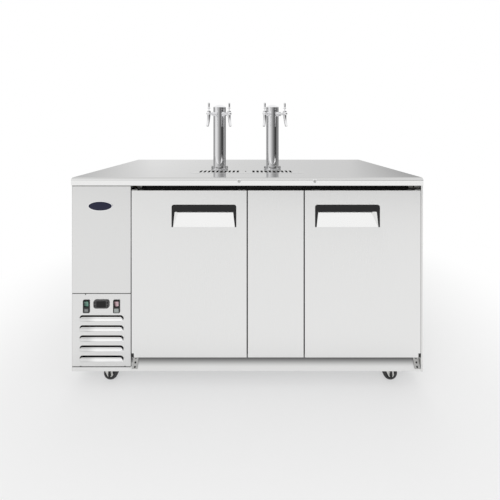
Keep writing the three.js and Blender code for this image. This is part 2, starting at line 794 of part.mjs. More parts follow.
function makeColumn() {
  const bottom = worktopHeight + fit;
  const inner = towerRadius - towerWall;
  let column = turned([[inner, bottom], [towerFlangeRadius, bottom],
    [towerFlangeRadius, bottom + towerFlangeThickness], [towerRadius, bottom + towerFlangeThickness],
    [towerRadius, columnTop], [inner, columnTop], [inner, bottom]], 24);
  for (const sign of [-1, 1]) {
    const hole = alongY(disc(0, worktopHeight + shankHeight, shankRadius + shankClearance),
      [-towerRadius - overrun, 0], 5);
    column = column.subtract(hole.rotate([0, 0, faucetTurn(sign)]));
  }
  return column;
}

function makeFaucet() {
  const wall = -(towerRadius + fit);
  const noseEnd = faucetReach + barrelEnd + barrelRadius / 2;
  const lengthwise = (points) => turned(points, 12).rotate([90, 0, 0]);
  const shank = lengthwise([
    [0, -wall - fit - shankInside], [shankRadius, -wall - fit - shankInside], [shankRadius, -wall],
    [collarRadius, -wall], [collarRadius, -wall + collarLength],
    [barrelRadius, -wall + collarLength], [barrelRadius, -wall + collarLength + fit],
    [nutRadius, -wall + collarLength + fit], [nutRadius, -wall + collarLength + nutLength],
    [barrelRadius, -wall + collarLength + nutLength], [barrelRadius, faucetReach + barrelEnd],
    [barrelRadius / 2, noseEnd], [0, noseEnd]]);
  const socket = turned([[0, -leverBall], [socketRadius, -leverBall], [socketRadius, leverPivot - fit],
    [socketRadius - sheet, socketHeight], [0, socketHeight]], 12).translate([0, -faucetReach, 0]);
  const cupRadius = leverBall + cupClearance;
  const cup = solid(new THREE.SphereGeometry(cupRadius, 12, 8)).translate([0, -faucetReach, leverPivot]);
  const mouth = turned([[0, leverPivot], [cupRadius, leverPivot], [cupRadius, socketHeight + overrun],
    [0, socketHeight + overrun]], 12).translate([0, -faucetReach, 0]);
  const lean = Math.atan2(spoutLean, spoutDrop);
  const length = Math.hypot(spoutLean, spoutDrop);
  const along = (shape) => shape.rotate([180 - THREE.MathUtils.radToDeg(lean), 0, 0])
    .translate([0, -faucetReach, 0]);
  const spout = along(turned([[0, 0], [spoutRadius, 0], [spoutRadius, length], [0, length]], 10));
  const outlet = along(turned([[0, length - 3 * spoutBore], [spoutBore, length - 3 * spoutBore],
    [spoutBore, length + overrun], [0, length + overrun]], 10));
  return without(union(shank, socket, spout), cup, mouth, outlet);
}

function makeLever() {
  const ball = [];
  for (let i = 0; i <= 5; i += 1) {
    const angle = -Math.PI / 2 + i * (Math.PI / 2 + Math.acos(leverStem / leverBall)) / 5;
    ball.push([i === 0 ? 0 : leverBall * Math.cos(angle), leverBall * Math.sin(angle)]);
  }
  const top = leverTop - leverPivot;
  const shaftFoot = leverGripFoot + leverCollarThickness;
  return turned([...ball, [leverStem, leverGripFoot], [leverCollarRadius, leverGripFoot],
    [leverCollarRadius, shaftFoot], [leverRadius, shaftFoot], [leverRadius, top - leverRadius / 2],
    [leverRadius / 2, top], [0, top]], 10);
}

// The cap: a skirt that plugs the tube, a band as wide as the tube, and a dome on it
function makeTowerCap() {
  const skirtRadius = towerRadius - towerWall - fit;
  const skirtFoot = columnTop - towerCapSkirt;
  const bandTop = columnTop + fit + towerCapBand;
  const ball = (towerRadius ** 2 + towerCapRise ** 2) / (2 * towerCapRise);
  const dome = [];
  for (let i = 0; i <= towerCapRings; i += 1) {
    const radius = towerRadius * (1 - i / towerCapRings);
    dome.push([radius, bandTop + towerCapRise - ball + Math.sqrt(ball ** 2 - radius ** 2)]);
  }
  return turned([[0, skirtFoot], [skirtRadius, skirtFoot], [skirtRadius, columnTop + fit],
    [towerRadius, columnTop + fit], ...dome], 24);
}

towerXs.forEach((x, i) => {
  const name = ["left", "right"][i];
  const tower = placed(cooler, x, towerY, 0);
  part(tower, `tower_column_${name}`, makeColumn(), polished);
  part(tower, `tower_cap_${name}`, makeTowerCap(), polished);
  for (const sign of [-1, 1]) {
    const label = (i === 0) === (sign < 0) ? "outer" : "inner";
    const faucet = placed(tower, 0, 0, worktopHeight + shankHeight, radians(faucetTurn(sign)));
    part(faucet, `faucet_${name}_${label}`, makeFaucet(), polished);
    const pivot = placed(faucet, 0, -faucetReach, leverPivot);
    part(pivot, `tap_lever_${name}_${label}`, makeLever(), polished);
  }
});

// Casters: a fork that swivels on its stud and a wheel that turns on the fork's axle
function makeFork() {
  const legY = wheelWidth / 2 + wheelGap;
  const crownZ = [forkCrownZ, forkCrownZ + forkCrown];
  let fork = union(
    alongZ(disc(0, 0, forkCrownRadius), crownZ, 7),
    alongZ(disc(0, 0, studRadius), [forkCrownZ, basePlateTop - fit], 4));
  const leg = new THREE.Shape();
  leg.moveTo(-forkCrownRadius, crownZ[1]);
  leg.lineTo(casterTrail - forkEndRadius, wheelRadius);
  leg.absarc(casterTrail, wheelRadius, forkEndRadius, Math.PI, 2 * Math.PI);
  leg.lineTo(forkCrownRadius, crownZ[1]);
  for (const sign of [-1, 1]) {
    const ys = sign < 0 ? [-legY - forkThickness, -legY] : [legY, legY + forkThickness];
    fork = fork.add(alongY(leg, ys, 3));
  }
  const block = box(around(0, forkCrownRadius), grown([-legY, legY], forkThickness), crownZ);
  const axleY = grown([-legY, legY], forkThickness * 2);
  const axle = alongY(disc(casterTrail, wheelRadius, axleRadius), axleY, 4);
  return union(fork, block, axle);
}

function makeWheel() {
  const half = wheelWidth / 2;
  const bore = axleRadius + studClearance;
  const hub = wheelRadius / 3;
  const web = wheelRadius * webShare;
  return turned([[bore, -half], [hub, -half], [hub, -half / 2], [web, -half / 2], [web, -half],
    [wheelRadius - treadRound, -half], [wheelRadius, -half + treadRound], [wheelRadius, half - treadRound],
    [wheelRadius - treadRound, half], [web, half], [web, half / 2], [hub, half / 2], [hub, half],
    [bore, half], [bore, -half]], 20).rotate([90, 0, 0]);
}
const webShare = 0.68;

casterYs.forEach((y, row) => {
  casterXs.forEach((x, column) => {
    const name = `${["front", "rear"][row]}_${["left", "right"][column]}`;
    const caster = placed(cooler, x, y, 0);
    part(caster, `caster_fork_${name}`, makeFork(), zinc);
    const wheel = placed(caster, casterTrail, 0, wheelRadius);
    part(wheel, `caster_wheel_${name}`, makeWheel(), tyreGrey);
  });
});

// Refrigeration in the side compartment: coil, shroud with motor, fan and compressor on the base pan
const machineX = (compartmentX[0] + compartmentX[1]) / 2;
const coilY = [panelFace + coilSetback, panelFace + coilSetback + coilDepth];
const coilZ = [coilLow, coilLow + coilHeight];
const coilX = around(machineX, coilWidth);

function makeCoil() {
  const core = grown(coilY, -coilDepth / 3);
  const foot = [floorOfPieces, coilZ[0] + finThickness];
  let coil = union(box(coilX, core, coilZ),
    box([coilX[0], coilX[0] + finThickness], coilY, [foot[0], coilZ[1]]),
    box([coilX[1] - finThickness, coilX[1]], coilY, [foot[0], coilZ[1]]));
  const count = Math.floor((coilWidth - finPitch) / finPitch);
  for (let i = 1; i <= count; i += 1) {
    const x = coilX[0] + i * coilWidth / (count + 1);
    coil = coil.add(box(around(x, finThickness), coilY, coilZ));
  }
  return coil;
}
part(cooler, "condenser_coil", makeCoil(), galvanised);

const shroudY = [coilY[1] + fit, coilY[1] + fit + shroudDepth];
const fanZ = coilZ[0] + coilHeight / 2;
const fanMiddleY = shroudY[0] + shroudDepth / 2;
const motorY = [shroudY[1] + sheet, shroudY[1] + sheet + motorLength];
part(cooler, "fan_shroud", union(
  without(
    box(coilX, shroudY, [floorOfPieces, coilZ[1]]),
    box(grown(coilX, -sheet), [shroudY[0] - overrun, shroudY[1] - sheet], [coilZ[0], coilZ[1] - sheet]),
    alongY(disc(machineX, fanZ, fanRadius + fanTipGap), grown(shroudY, overrun), 10)),
  box(around(machineX, coilWidth), [motorY[0] - sheet, motorY[0] + motorStrut], around(fanZ, motorStrut)),
  alongY(disc(machineX, fanZ, motorRadius), motorY, 6),
  alongY(disc(machineX, fanZ, motorShaft), [shroudY[0] + sheet, motorY[1]], 4)), enamelBlack);

function makeFan(radius, hubRadius, hubLength, shaft) {
  let fan = alongY(disc(0, 0, hubRadius), around(0, hubLength), 6);
  for (let i = 0; i < fanBladeCount; i += 1) {
    const bladeZ = [hubRadius - fanBladeThickness * 2, radius];
    const blade = box(around(0, fanBladeChord), around(0, fanBladeThickness), bladeZ)
      .rotate([0, 0, fanPitch]).rotate([0, i * 360 / fanBladeCount, 0]);
    fan = fan.add(blade);
  }
  const swept = alongY(disc(0, 0, radius), around(0, fanBladeChord * 2), 12);
  const bore = alongY(disc(0, 0, shaft + 2 * fit), around(0, hubLength + overrun), 4);
  return fan.intersect(swept).subtract(bore);
}

part(placed(cooler, machineX, fanMiddleY, fanZ), "condenser_fan",
  makeFan(fanRadius, fanHubRadius, fanHubLength, motorShaft), galvanised);

function makeCompressor() {
  const low = floorOfPieces + compressorFoot;
  const high = low + compressorHeight;
  const footing = around(0, compressorBaseWidth);
  let pot = turned([[0, low], [compressorRadius, low], [compressorRadius, high - compressorDome],
    [compressorRadius * domeShare, high], [0, high]], 18);
  pot = pot.add(box(footing, footing, grown([low, low], finThickness)));
  const corner = compressorBaseWidth / 2 - compressorFoot;
  for (const x of [-corner, corner]) {
    for (const y of [-corner, corner]) {
      pot = pot.add(alongZ(disc(x, y, compressorFoot / 2), [floorOfPieces, low]));
    }
  }
  return pot;
}
const domeShare = 0.62;
part(placed(cooler, machineX, panelFace + compressorSetback, 0), "compressor",
  makeCompressor(), enamelBlack);

function makeRearGrille() {
  const plate = [backEdge + fit, backEdge + lockProud];
  let grille = box([leftSide, compartmentRight + rearLap], plate, [floorOfPieces, boxTop]);
  for (let i = 0; i < rearSlotCount; i += 1) {
    const z = rearSlotLow + i * rearSlotPitch;
    const slot = box(around(machineX, rearSlotWidth), grown(plate, overrun), around(z, rearSlotHeight));
    grille = grille.subtract(slot);
  }
  return grille;
}
part(cooler, "rear_grille", makeRearGrille(), galvanised);

// Evaporator cover high on the compartment side of the keg space, with its fan
const evaporatorX = [innerX[0] + fit, innerX[0] + fit + evaporatorDepth];
const evaporatorZ = [innerCeiling - fit - evaporatorHeight, innerCeiling - fit];
const evaporatorY = around((cavityY[0] + cavityY[1]) / 2, evaporatorLength);
const evaporatorFanZ = (evaporatorZ[0] + evaporatorZ[1]) / 2;
const evaporatorMiddle = [(evaporatorY[0] + evaporatorY[1]) / 2, evaporatorFanZ];
const evaporatorFanX = evaporatorX[1] - fanHubLength / 2 - evaporatorSkin;

part(cooler, "evaporator_cover", union(
  without(
    box(evaporatorX, evaporatorY, evaporatorZ),
    box(grown(evaporatorX, -evaporatorSkin), grown(evaporatorY, -evaporatorSkin),
      [evaporatorZ[0] - overrun, evaporatorZ[1] - evaporatorSkin]),
    alongX(disc(...evaporatorMiddle, evaporatorFanRadius + fanTipGap),
      [evaporatorX[0] + evaporatorDepth / 2, evaporatorX[1] + overrun], 10)),
  box([evaporatorX[0], evaporatorX[0] + 2 * motorStrut], evaporatorY, around(evaporatorFanZ, motorStrut)),
  alongX(disc(...evaporatorMiddle, motorRadius / 2), [evaporatorX[0], evaporatorFanX - fanHubLength], 6),
  alongX(disc(...evaporatorMiddle, motorShaft), [evaporatorX[0], evaporatorFanX + fanHubLength / 2], 4)),
whiteLiner);

const evaporatorFan = placed(cooler, evaporatorFanX, ...evaporatorMiddle, Math.PI / 2);
part(evaporatorFan, "evaporator_fan",
  makeFan(evaporatorFanRadius, fanHubRadius / 2, fanHubLength, motorShaft), galvanised);

export default cooler;
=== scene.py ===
# %% [markdown]
# # A two-door draft beer cooler
# The real thing is a keg fridge: folded stainless sheet round a foam box, a machine compartment
# on the left, two doors, and two chromed columns with two faucets each on the worktop.
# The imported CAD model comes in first, as a frame that nothing here may move. Each cell after it
# dresses one piece, and lengths are written in millimetres, as a maker reads them off a drawing.

import math

import bmesh
import bpy
from mathutils import Matrix, Vector


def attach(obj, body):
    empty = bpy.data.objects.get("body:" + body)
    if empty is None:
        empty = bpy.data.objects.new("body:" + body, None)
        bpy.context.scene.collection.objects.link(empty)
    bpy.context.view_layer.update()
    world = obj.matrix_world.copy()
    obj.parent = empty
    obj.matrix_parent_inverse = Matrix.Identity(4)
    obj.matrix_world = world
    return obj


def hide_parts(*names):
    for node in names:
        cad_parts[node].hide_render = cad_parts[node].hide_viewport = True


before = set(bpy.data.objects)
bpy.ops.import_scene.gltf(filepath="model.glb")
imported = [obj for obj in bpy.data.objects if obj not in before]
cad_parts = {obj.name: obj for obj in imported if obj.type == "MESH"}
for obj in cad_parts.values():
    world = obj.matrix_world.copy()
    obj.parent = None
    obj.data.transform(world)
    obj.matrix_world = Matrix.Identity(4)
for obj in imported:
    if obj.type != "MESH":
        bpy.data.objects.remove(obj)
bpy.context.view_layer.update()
MM = 0.001

# %% [markdown]
# ## The camera
# The photograph was taken close up with a wide lens, held level above the worktop: verticals stay
# upright, and the horizon runs near the top of the picture. A level camera with its sensor
# shifted down gives that; tilting it instead would make the cabinet taper.

# %% Camera
scene = bpy.context.scene
lens_data = bpy.data.cameras.new("photo_lens")
lens_data.lens = 17.4
lens_data.sensor_width = 36
lens_data.shift_x = -0.0020
lens_data.shift_y = -0.2411
camera = bpy.data.objects.new("photo_camera", lens_data)
camera.location = (0.0186, -1.541, 1.267)
camera.rotation_euler = (math.radians(90), 0, 0)
scene.collection.objects.link(camera)
scene.camera = camera

# %% [markdown]
# ## Light
# Steel has almost no colour of its own: what it mirrors is what one sees. A photographer puts a
# white wall on one side of polished columns and lets the room fall dark on the other, or they
# would vanish against the page. So the world is plain white to the camera and an even, soft lamp
# to everything lit, and only mirrored rays see a ring of walls, bright on the left and dark on
# the right in front. High above, that ring runs into one pale ceiling.

# %% World
scene.view_settings.view_transform = "Standard"
world = bpy.data.worlds.new("studio")
world.use_nodes = True
world.node_tree.nodes.clear()
scene.world = world


def add_node(owner, kind, inputs=(), **settings):
    """A new node in a material or the world; an input is a value or another node's output."""
    node = owner.node_tree.nodes.new(kind)
    for key, value in settings.items():
        setattr(node, key, value)
    for socket, value in dict(inputs).items():
        if isinstance(value, bpy.types.NodeSocket):
            owner.node_tree.links.new(value, node.inputs[socket])
        else:
            node.inputs[socket].default_value = value
    return node


WHITE = (1, 1, 1, 1)
print("world:", world.name)

# %% [markdown]
# The ring of walls is a colour ramp over the compass angle of the mirrored ray. How steeply the ray
# rises fades the ring into the ceiling.

# %% Walls and ceiling
# walls of the room by compass angle in degrees, 0 in front of the cabinet and 90 to its right
WALLS = [(-180, 0.8), (-158, 0.92), (-140, 0.45), (-120, 0.28), (-104, 0.3), (-92, 0.44),
         (-80, 0.74), (-64, 0.9), (-48, 0.86), (-29, 0.68), (-11, 0.44), (8, 0.26), (25, 0.15),
         (42, 0.07), (57, 0.03), (70, 0.1), (83, 0.22), (97, 0.33), (110, 0.24), (126, 0.13),
         (142, 0.22), (158, 0.74), (180, 0.8)]
# how steeply a mirrored ray rises where the walls begin to fade, and where all is ceiling
WALLS_FADE, ALL_CEILING = 0.08, 0.34
generated = add_node(world, "ShaderNodeTexCoord").outputs["Generated"]
towards = add_node(world, "ShaderNodeSeparateXYZ", {0: generated}).outputs
to_front = add_node(world, "ShaderNodeMath", {0: towards["Y"], 1: -1.0}, operation="MULTIPLY")
compass = add_node(world, "ShaderNodeMath", {0: towards["X"], 1: to_front.outputs[0]},
                   operation="ARCTAN2")
along_wall = add_node(world, "ShaderNodeMapRange",
                      {"Value": compass.outputs[0], "From Min": -math.pi, "From Max": math.pi})
walls = add_node(world, "ShaderNodeValToRGB", {"Fac": along_wall.outputs[0]})
stops = walls.color_ramp.elements
for angle, grey in WALLS[1:-1]:
    stops.new(angle / 360 + 0.5).color = (grey, grey, grey, 1)
for end in (0, -1):
    grey = WALLS[end][1]
    stops[end].color = (grey, grey, grey, 1)
rise = add_node(world, "ShaderNodeMapRange",
                {"Value": towards["Z"], "From Min": WALLS_FADE, "From Max": ALL_CEILING},
                interpolation_type="SMOOTHSTEP")
# sockets 6 and 7 of a Mix node are its two colours
room = add_node(world, "ShaderNodeMix",
                {"Factor": rise.outputs[0], 6: walls.outputs["Color"], 7: WHITE},
                data_type="RGBA")
print("walls of the room:", len(WALLS), "stops")

# %% [markdown]
# The Light Path node tells the kinds of ray apart, and two mix shaders give each kind its world.

# %% What each ray sees
LAMP_LEVEL = 0.78
ray = add_node(world, "ShaderNodeLightPath").outputs
mirrored = add_node(world, "ShaderNodeMath",
                    {0: ray["Is Glossy Ray"], 1: ray["Is Transmission Ray"]}, operation="MAXIMUM")
lamp_part = add_node(world, "ShaderNodeBackground", {"Color": WHITE, "Strength": LAMP_LEVEL})
room_part = add_node(world, "ShaderNodeBackground", {"Color": room.outputs[2], "Strength": 1.0})
page_part = add_node(world, "ShaderNodeBackground", {"Color": WHITE, "Strength": 1.0})
lit = add_node(world, "ShaderNodeMixShader",
               {0: mirrored.outputs[0], 1: lamp_part.outputs[0], 2: room_part.outputs[0]})
all_rays = add_node(world, "ShaderNodeMixShader",
                    {0: ray["Is Camera Ray"], 1: lit.outputs[0], 2: page_part.outputs[0]})
add_node(world, "ShaderNodeOutputWorld", {"Surface": all_rays.outputs[0]})
print("the world lights the object at", LAMP_LEVEL)

# %% [markdown]
# Two large soft boxes above give the plastics and the floor their gentle shading. Mirrored rays
# don't see them, or each would draw its own rectangle on the steel.

# %% Soft boxes
def soft_box(name, place, aim, size, watts):
    data = bpy.data.lights.new(name, "AREA")
    data.shape = "RECTANGLE"
    data.size, data.size_y = size
    data.energy = watts
    lamp = bpy.data.objects.new(name, data)
    lamp.location = place
    lamp.rotation_euler = (Vector(aim) - Vector(place)).to_track_quat("-Z", "Y").to_euler()
    lamp.visible_glossy = False
    scene.collection.objects.link(lamp)


soft_box("soft_box_front", (-1.2, -2.6, 3.0), (0, 0, 0.7), (2.6, 1.6), 20)
soft_box("soft_box_top", (0.6, 0.3, 3.4), (0, 0, 1.0), (3.0, 2.0), 14)

# %% [markdown]
# ## Ways to make a mesh
# Almost everything on this machine is folded sheet, turned bar or bent tube. So there are three
# main ways to make a mesh here: a flat plate cut from an outline, a profile spun round an axis,
# and a round section swept along a path. Each returns a bmesh in millimetres. Outlines come first,
# as lists of points in a plane.

# %% Outlines
def arc(u, v, radius, start, end, steps):
    turn = [math.radians(start + (end - start) * i / steps) for i in range(steps + 1)]
    return [(u + radius * math.cos(a), v + radius * math.sin(a)) for a in turn]


def rounded(u_span, v_span, radius, steps=8):
    (u0, u1), (v0, v1) = u_span, v_span
    return (arc(u1 - radius, v0 + radius, radius, -90, 0, steps)
            + arc(u1 - radius, v1 - radius, radius, 0, 90, steps)
            + arc(u0 + radius, v1 - radius, radius, 90, 180, steps)
            + arc(u0 + radius, v0 + radius, radius, 180, 270, steps))


def circle(u, v, radius, steps=32):
    return arc(u, v, radius, 0, 360 - 360 / steps, steps - 1)


def around(middle, size):
    return middle - size / 2, middle + size / 2


print("a rounded outline has", len(rounded((0, 10), (0, 5), 1)), "points")

# %% [markdown]
# A plate's two faces are filled between its outer line and the lines of its holes, as a cutting
# press leaves them, and a wall joins each pair of lines. Almost level edges inside the faces are
# dissolved, so that a later bevel runs along the real edges only.

# %% Plates
LEVEL = 0.005  # faces that differ by less than this, in radians, are one face


def plate(outer, holes, low, high):
    """A plate with holes in the plane of U and V, from low to high along W."""
    bm = bmesh.new()
    layers = []
    for w in (low, high):
        rings = [[bm.verts.new((u, v, w)) for u, v in loop] for loop in (outer, *holes)]
        edges = [bm.edges.new((ring[i - 1], ring[i])) for ring in rings for i in range(len(ring))]
        bmesh.ops.triangle_fill(bm, use_beauty=True, edges=edges)
        layers.append(rings)
    for under, over in zip(*layers):
        for i in range(len(under)):
            bm.faces.new((under[i - 1], under[i], over[i], over[i - 1]))
    bmesh.ops.dissolve_limit(bm, angle_limit=LEVEL, verts=bm.verts, edges=bm.edges)
    return bm


print("a drilled plate has", len(plate(rounded((0, 10), (0, 5), 1), [circle(5, 2, 1)], 0, 1).faces),
      "faces")

# %% [markdown]
# A loft joins loops of points, one after the other, as slices of a form. A turned part is a loft
# of rings, and a bent tube is a loft of circles that stand square to the path. Carrying one
# direction along the path keeps the circles from twisting.

# %% Lofts, spun profiles and swept tubes
def loft(loops, closed=False):
    """Faces between loops of equal length, capped at both ends unless the row of loops closes."""
    bm = bmesh.new()
    rings = [[bm.verts.new(point) for point in loop] for loop in loops]
    pairs = zip(rings, rings[1:] + rings[:1]) if closed else zip(rings, rings[1:])
    for one, two in pairs:
        for i in range(len(one)):
            bm.faces.new((one[i - 1], one[i], two[i], two[i - 1]))
    if not closed:
        bm.faces.new(rings[0])
        bm.faces.new(rings[-1])
    return bm


def spun(profile, sides=64, closed=False):
    """A profile of (radius, height) points spun round Z."""
    turn = [2 * math.pi * i / sides for i in range(sides)]
    return loft([[(r * math.cos(a), r * math.sin(a), z) for a in turn] for r, z in profile], closed)


def swept(points, radii, sides=16, closed=False):
    """A round tube along points; radii is one radius or one for each point."""
    points = [Vector(p) for p in points]
    count = len(points)
    radii = radii if isinstance(radii, (list, tuple)) else [radii] * count
    loops, across = [], None
    for i, point in enumerate(points):
        ahead = points[(i + 1) % count] if closed or i + 1 < count else point
        behind = points[i - 1] if closed or i else point
        along = (ahead - behind).normalized()
        if across is None:
            across = along.orthogonal().normalized()
        across = (across - along * across.dot(along)).normalized()
        other = along.cross(across)
        loops.append([point + radii[i] * (math.cos(a) * across + math.sin(a) * other)
                      for a in (2 * math.pi * k / sides for k in range(sides))])
    return loft(loops, closed)


print("a ring of four sides has", len(spun([(2, 0), (3, 0), (3, 1)], 4, closed=True).faces), "faces")

# %% [markdown]
# Front parts are easiest to draw as one sees them from the front: U to the right, V upwards and W
# towards the reader. A matrix then turns them into the cabinet's own axes.

# %% Blocks, places and groups
def block(x_span, y_span, z_span):
    (x0, x1), (y0, y1) = x_span, y_span
    return plate([(x0, y0), (x1, y0), (x1, y1), (x0, y1)], (), *z_span)


def moved(bm, matrix):
    bm.transform(matrix)
    return bm


def shifted(bm, x, y, z):
    return moved(bm, Matrix.Translation((x, y, z)))


# U is X, V is Z and W is -Y
FACING = Matrix(((1, 0, 0, 0), (0, 0, -1, 0), (0, 1, 0, 0), (0, 0, 0, 1)))
# U is Y, V is Z and W is X
SIDEWAYS = Matrix(((0, 0, 1, 0), (1, 0, 0, 0), (0, 1, 0, 0), (0, 0, 0, 1)))


def facing(bm, x, y, z):
    """A part drawn in U, V and W, with its origin at a place on the front."""
    return moved(bm, Matrix.Translation((x, y, z)) @ FACING)


def front_plate(outer, holes, front, back):
    return moved(plate(outer, holes, -back, -front), FACING)


def gathered(*parts):
    whole = bmesh.new()
    for part in parts:
        loose = bpy.data.meshes.new("loose")
        part.to_mesh(loose)
        part.free()
        whole.from_mesh(loose)
        bpy.data.meshes.remove(loose)
    return whole


print("a block has", len(block((0, 1), (0, 1), (0, 1)).faces), "faces")

# %% [markdown]
# Holes that cross an edge or a round face can't be drawn in an outline, so they are carved with a
# Boolean modifier. Its result is read back through the dependency graph, and the two helpers of
# the cut are thrown away.

# %% Carving
def carved(bm, cutter):
    """The first mesh less the cutter."""
    made = []
    for part in (bm, cutter):
        bmesh.ops.recalc_face_normals(part, faces=part.faces)
        data = bpy.data.meshes.new("carving")
        part.to_mesh(data)
        part.free()
        made.append(bpy.data.objects.new("carving", data))
        scene.collection.objects.link(made[-1])
    tool = made[0].modifiers.new("carve", "BOOLEAN")
    tool.object, tool.operation, tool.solver = made[1], "DIFFERENCE", "EXACT"
    result = bmesh.new()
    result.from_object(made[0], bpy.context.evaluated_depsgraph_get())
    for piece in made:
        data = piece.data
        bpy.data.objects.remove(piece)
        bpy.data.meshes.remove(data)
    bmesh.ops.dissolve_limit(result, angle_limit=LEVEL, verts=result.verts, edges=result.edges)
    return result


nicked = carved(block((0, 2), (0, 2), (0, 2)), block((1, 3), (1, 3), (1, 3)))
print("a block with one corner carved out has", len(nicked.faces), "faces")

# %% [markdown]
# Some CAD nodes already have the right shape. A copy of the node's mesh then becomes the visible
# piece. The CAD file holds triangles, so those that lie in one plane are joined up first, and a
# bevel runs along the true edges.

# %% Copies of CAD nodes
SAME_POINT = 0.005


def cad_copy(node, join=True):
    """A copy of a CAD node's mesh, with its flat facets joined up again unless join is off."""
    bm = bmesh.new()
    bm.from_mesh(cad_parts[node].data)
    bmesh.ops.scale(bm, vec=(1 / MM,) * 3, verts=bm.verts)
    bmesh.ops.remove_doubles(bm, verts=bm.verts, dist=SAME_POINT)
    if join:
        bmesh.ops.dissolve_limit(bm, angle_limit=LEVEL, verts=bm.verts, edges=bm.edges)
    return bm


print("a copy of the sill has", len(cad_copy("front_sill").faces), "faces")

# %% [markdown]
# ## Finishes
# No surface of a real machine is one flat colour. Sheet steel has a brushed grain, plastic has a
# spark-eroded skin, zinc is cloudy. One recipe covers them: a stretched noise gives the grain,
# which drives a slight change of colour, of roughness and of height, and a second noise, a
# hundred times larger, gives the cloudiness of handling and cleaning.

# %% The recipe
FINISHES = {}
LEAST_ROUGHNESS = 0.02


def finish(name, slot, colour, roughness, metallic=0.0, grain=400, spread=0.04, rough_spread=0.05,
           relief=0.02, cloud=0.03, cloud_size=6.0, painted_shading=None, **sockets):
    """A material with grain and cloud.

    grain is how fine its noise is, one number or one for each axis, and relief how high, in
    millimetres. The painted gradient, (axis, from, to, second colour), runs the colour into a
    second one along an axis, which paints light or shade into it.
    """
    material = bpy.data.materials.new(name)
    material.use_nodes = True
    shader = material.node_tree.nodes["Principled BSDF"]
    shader.inputs["Metallic"].default_value = metallic
    for socket, value in sockets.items():
        shader.inputs[socket.replace("_", " ")].default_value = value
    where = add_node(material, "ShaderNodeTexCoord").outputs["Object"]
    fineness = grain if isinstance(grain, tuple) else (grain,) * 3
    stretch = add_node(material, "ShaderNodeMapping", {"Vector": where, "Scale": fineness})
    fine = add_node(material, "ShaderNodeTexNoise",
                    {"Vector": stretch.outputs[0], "Scale": 1.0, "Detail": 4.0}).outputs["Fac"]
    wide = add_node(material, "ShaderNodeTexNoise",
                    {"Vector": where, "Scale": cloud_size, "Detail": 3.0}).outputs["Fac"]
    mixed = add_node(material, "ShaderNodeMath", {0: fine, 1: spread}, operation="MULTIPLY")
    mixed = add_node(material, "ShaderNodeMath", {0: wide, 1: cloud, 2: mixed.outputs[0]},
                     operation="MULTIPLY_ADD")

    def from_noise(low, high):
        return add_node(material, "ShaderNodeMapRange",
                        {"Value": mixed.outputs[0], "From Min": 0.0, "From Max": spread + cloud,
                         "To Min": low, "To Max": high}).outputs[0]

    base = (*colour, 1)
    # painted light and shade: the colour runs into a second one along one axis
    if painted_shading:
        axis, start, end, second = painted_shading
        along = add_node(material, "ShaderNodeSeparateXYZ", {0: where}).outputs[axis]
        share = add_node(material, "ShaderNodeMapRange",
                         {"Value": along, "From Min": start * MM, "From Max": end * MM},
                         interpolation_type="SMOOTHSTEP").outputs[0]
        base = add_node(material, "ShaderNodeMix", {"Factor": share, 6: base, 7: (*second, 1)},
                        data_type="RGBA").outputs[2]
    span = (spread + cloud) / 2
    tint = add_node(material, "ShaderNodeMix",
                    {"Factor": 1.0, 6: base, 7: from_noise(1 - span, 1 + span)},
                    data_type="RGBA", blend_type="MULTIPLY")
    rough = from_noise(max(roughness - rough_spread, LEAST_ROUGHNESS), roughness + rough_spread)
    bump = add_node(material, "ShaderNodeBump",
                    {"Height": fine, "Strength": 1.0, "Distance": relief * MM})
    for output, socket in ((tint.outputs[2], "Base Color"), (rough, "Roughness"),
                           (bump.outputs[0], "Normal")):
        material.node_tree.links.new(output, shader.inputs[socket])
    FINISHES[name] = (material, slot)


print("no finish is smoother than", LEAST_ROUGHNESS)

# %% [markdown]
# The worktop is brushed lengthways and the doors upright, as the sheets come off the coil. The
# columns and faucets are plated and polished. The galvanised back and base are duller. Where a
# colour runs into a second one, light or shade is painted into it, and some finishes are painted
# paler or darker than their metal for the light where they sit; each is named below.

# %% Metals
STEEL = (0.80, 0.80, 0.795)
ALONG, UPWARDS = (14, 900, 900), (900, 900, 14)
brushed = {"spread": 0.03, "rough_spread": 0.02, "relief": 0.0015}
upright = {**brushed, "grain": UPWARDS, "cloud": 0.015}
smooth = {"spread": 0.02, "rough_spread": 0.02, "cloud": 0.015}
zinc = {"grain": 500, "rough_spread": 0.08, "relief": 0.01, "cloud": 0.12, "cloud_size": 60.0}
# painted shade: the worktop's top face is painted darker than its nose and apron
finish("top_steel", "stainless", (0.83, 0.83, 0.825), 0.08, 1.0, grain=ALONG, relief=0.0006,
       cloud_size=3.0, painted_shading=("Z", 1019, 1029.4, (0.58, 0.58, 0.575)), **smooth)
finish("door_steel", "stainless", STEEL, 0.28, 1.0, cloud_size=2.0, **upright)
# painted shadow: the sill darkens towards its top, as the doors above shade it
finish("sill_steel", "stainless", STEEL, 0.3, 1.0, grain=ALONG,
       painted_shading=("Z", 92, 132, (0.12, 0.12, 0.12)), **brushed)
finish("panel_steel", "stainless", (0.75, 0.75, 0.745), 0.28, 1.0, cloud_size=2.0, **upright)
# painted highlight: the hoods are dim at their left ends and pale over the rest
finish("hood_steel", "stainless", (0.74, 0.74, 0.735), 0.28, 1.0,
       painted_shading=("X", -790, -735, (0.98, 0.98, 0.975)), **upright)
finish("side_steel", "stainless", (0.78, 0.78, 0.77), 0.28, 1.0, cloud_size=2.0, **upright)
finish("tray_steel", "stainless", (0.60, 0.60, 0.595), 0.05, 1.0, grain=ALONG, relief=0.0005,
       **smooth)
